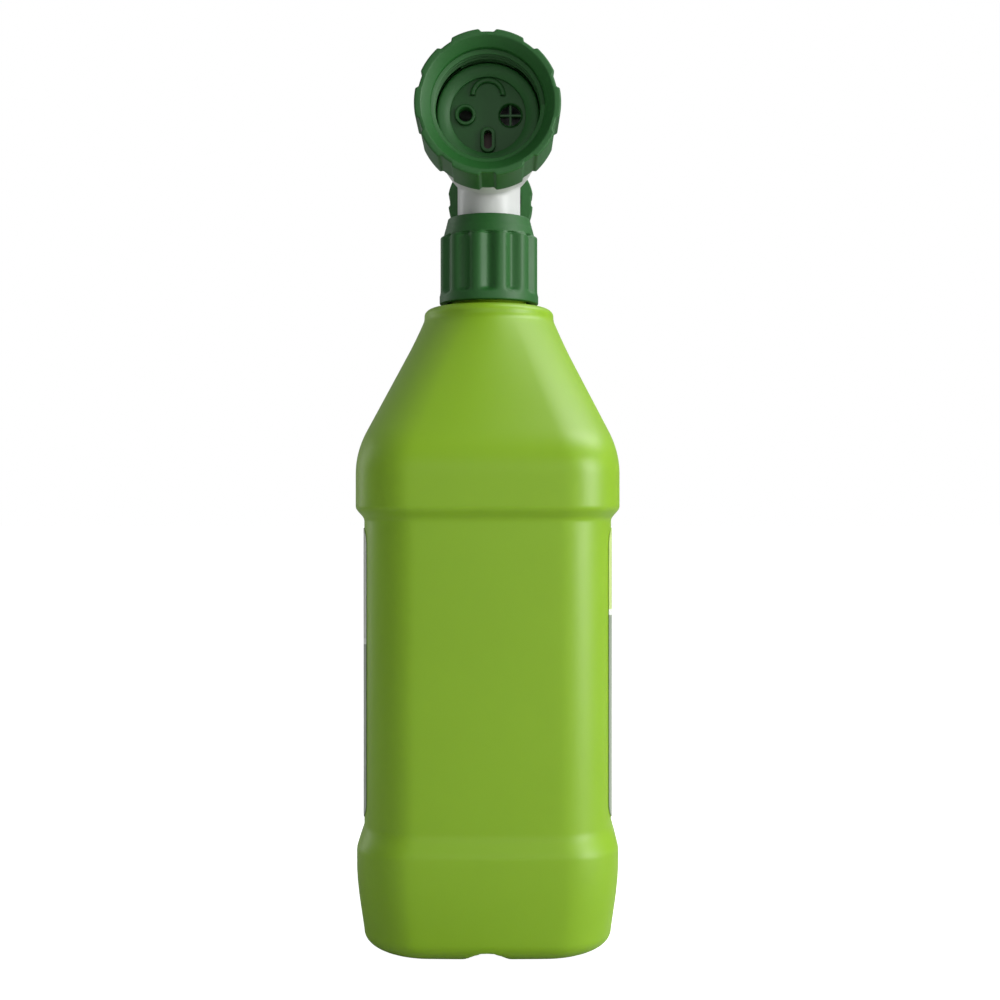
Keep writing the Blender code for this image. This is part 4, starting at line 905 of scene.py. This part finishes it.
chamber_end, seat = -20.0, plate_back + 0.3
waterway = spun([(0, body_rear + 1, 0), (4.0, body_rear + 1, 0), (4.0, chamber_end, 0), (9.4, chamber_end, 0),
                 (9.4, seat, 0), (11.2, seat, 0), (11.2, body_front - 1, 0), (0, body_front - 1, 0)],
                steps=120)
bm = combined(bm, upright(waterway), "DIFFERENCE")
tube_top = span("metering_orifice")[1] + 0.3
socket = spun([(0, body_low - 1, 0), (3.3, body_low - 1, 0), (3.3, tube_top, 0), (1.6, tube_top, 0),
               (1.6, axis_height - 1, 0), (0, axis_height - 1, 0)], steps=64)
bm = combined(bm, socket, "DIFFERENCE")
guide = spun([(0, chamber_end - 1, 0), (1.1, chamber_end - 1, 0), (1.1, chamber_end + 5, 0),
              (0, chamber_end + 5, 0)], steps=32)
bm = combined(bm, upright(shifted(guide, up=-SLOT_DROP)), "DIFFERENCE")
vent = spun([(0, body_low - 1, 0), (0.9, body_low - 1, 0), (0.9, flange_top + 2.6, 0),
             (0, flange_top + 2.6, 0)], steps=32)
bmesh.ops.translate(vent, vec=(5.6 * MM, 0, 0), verts=vent.verts)
bm = combined(bm, vent, "DIFFERENCE")
finished("sprayer_body_moulded", bm, white_pp, "head", "white_plastic", "sprayer_body", crease=40)

# %% [markdown]
# ## The selector knob and the nozzle
# The knob turns a valve a quarter of a turn. It is turned like the nut, with eight lugs, and a raised rib
# on its face shows which way it points. The nozzle in its middle has a slot that spreads the jet to a fan.

# %% Turn the knob and the nozzle
KNOB_RADIUS, KNOB_LUG_HEIGHT, KNOB_SKIRT_BORE = 13.0, 0.6, 9.6
KNOB_FACE, NOZZLE_RADIUS, NOZZLE_BORE, FAN_SLOT_WIDTH = 2.4, 5.0, 2.0, 1.2
nozzle_front, nozzle_rear = span("nozzle_tip", along_barrel=True)
cavity = knob_rear - KNOB_FACE - 0.3


def knob_notches(radius, angle, height):
    outside = smooth(11.0, 12.6, radius)
    return -KNOB_LUG_HEIGHT * notch(angle, -90.0, 45.0, 15.0, 4.0) * outside


bm = spun([(11.4, knob_rear, 0.6), (13.6, knob_rear - 1.6, 0.6), (13.6, knob_front, 0.4),
           (KNOB_SKIRT_BORE, knob_front, 0.4), (KNOB_SKIRT_BORE, cavity, 0),
           (NOZZLE_RADIUS + 0.3, cavity, 0), (NOZZLE_RADIUS + 0.3, knob_rear, 0.3)],
          steps=360, longest_mm=1.0)
move_radially(bm, knob_notches)
pointer = bmesh.new()
bmesh.ops.create_cube(pointer, size=1.0)
bmesh.ops.scale(pointer, vec=(1.4 * MM, 4.6 * MM, 1.4 * MM), verts=pointer.verts)
bmesh.ops.bevel(pointer, geom=pointer.edges[:], offset=0.35 * MM, offset_type="OFFSET", segments=3,
                profile=0.5, affect="EDGES", material=-1)
bmesh.ops.translate(pointer, vec=(0, -8.4 * MM, knob_rear * MM), verts=pointer.verts)
bm = combined(bm, pointer, "UNION")
finished("selector_knob_lugged", bm, green_pp, "selector_knob", "green_plastic", "selector_knob",
         place=ALONG_BARREL)

bm = spun([(NOZZLE_RADIUS, nozzle_front, 0), (NOZZLE_RADIUS, nozzle_rear, 0.5),
           (NOZZLE_BORE, nozzle_rear, 0.3), (NOZZLE_BORE, nozzle_front, 0)], steps=120)
slot = bmesh.new()
bmesh.ops.create_cube(slot, size=1.0)
bmesh.ops.scale(slot, vec=(12 * MM, FAN_SLOT_WIDTH * MM, 3 * MM), verts=slot.verts)
bmesh.ops.translate(slot, vec=(0, 0, nozzle_rear * MM), verts=slot.verts)
bm = combined(bm, slot, "DIFFERENCE")
finished("nozzle_fan_tip", bm, white_pp, "selector_knob", "white_plastic", "nozzle_tip", place=ALONG_BARREL)

# %% [markdown]
# ## The pieces inside
# The seals, the dip tube, the jet, the valve and its spring are small, and the CAD model's shapes serve
# them well. They keep those shapes and get their finishes.

# %% Finish the pieces inside
INSIDE = {
    "neck_seal": black_rubber, "jet_seal_ring": black_rubber, "nose_seal_ring": black_rubber,
    "valve_seat_seal": black_rubber, "vent_valve": red_silicone, "check_poppet": red_silicone,
    "dip_tube": clear_ldpe, "metering_orifice": green_pp, "mixing_jet": white_pp,
    "valve_rotor": white_pp, "check_spring": spring_wire,
}
for node, material in INSIDE.items():
    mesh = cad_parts[node].data
    mesh.materials.clear()
    mesh.materials.append(material)
print("finished inside:", ", ".join(sorted(INSIDE)))
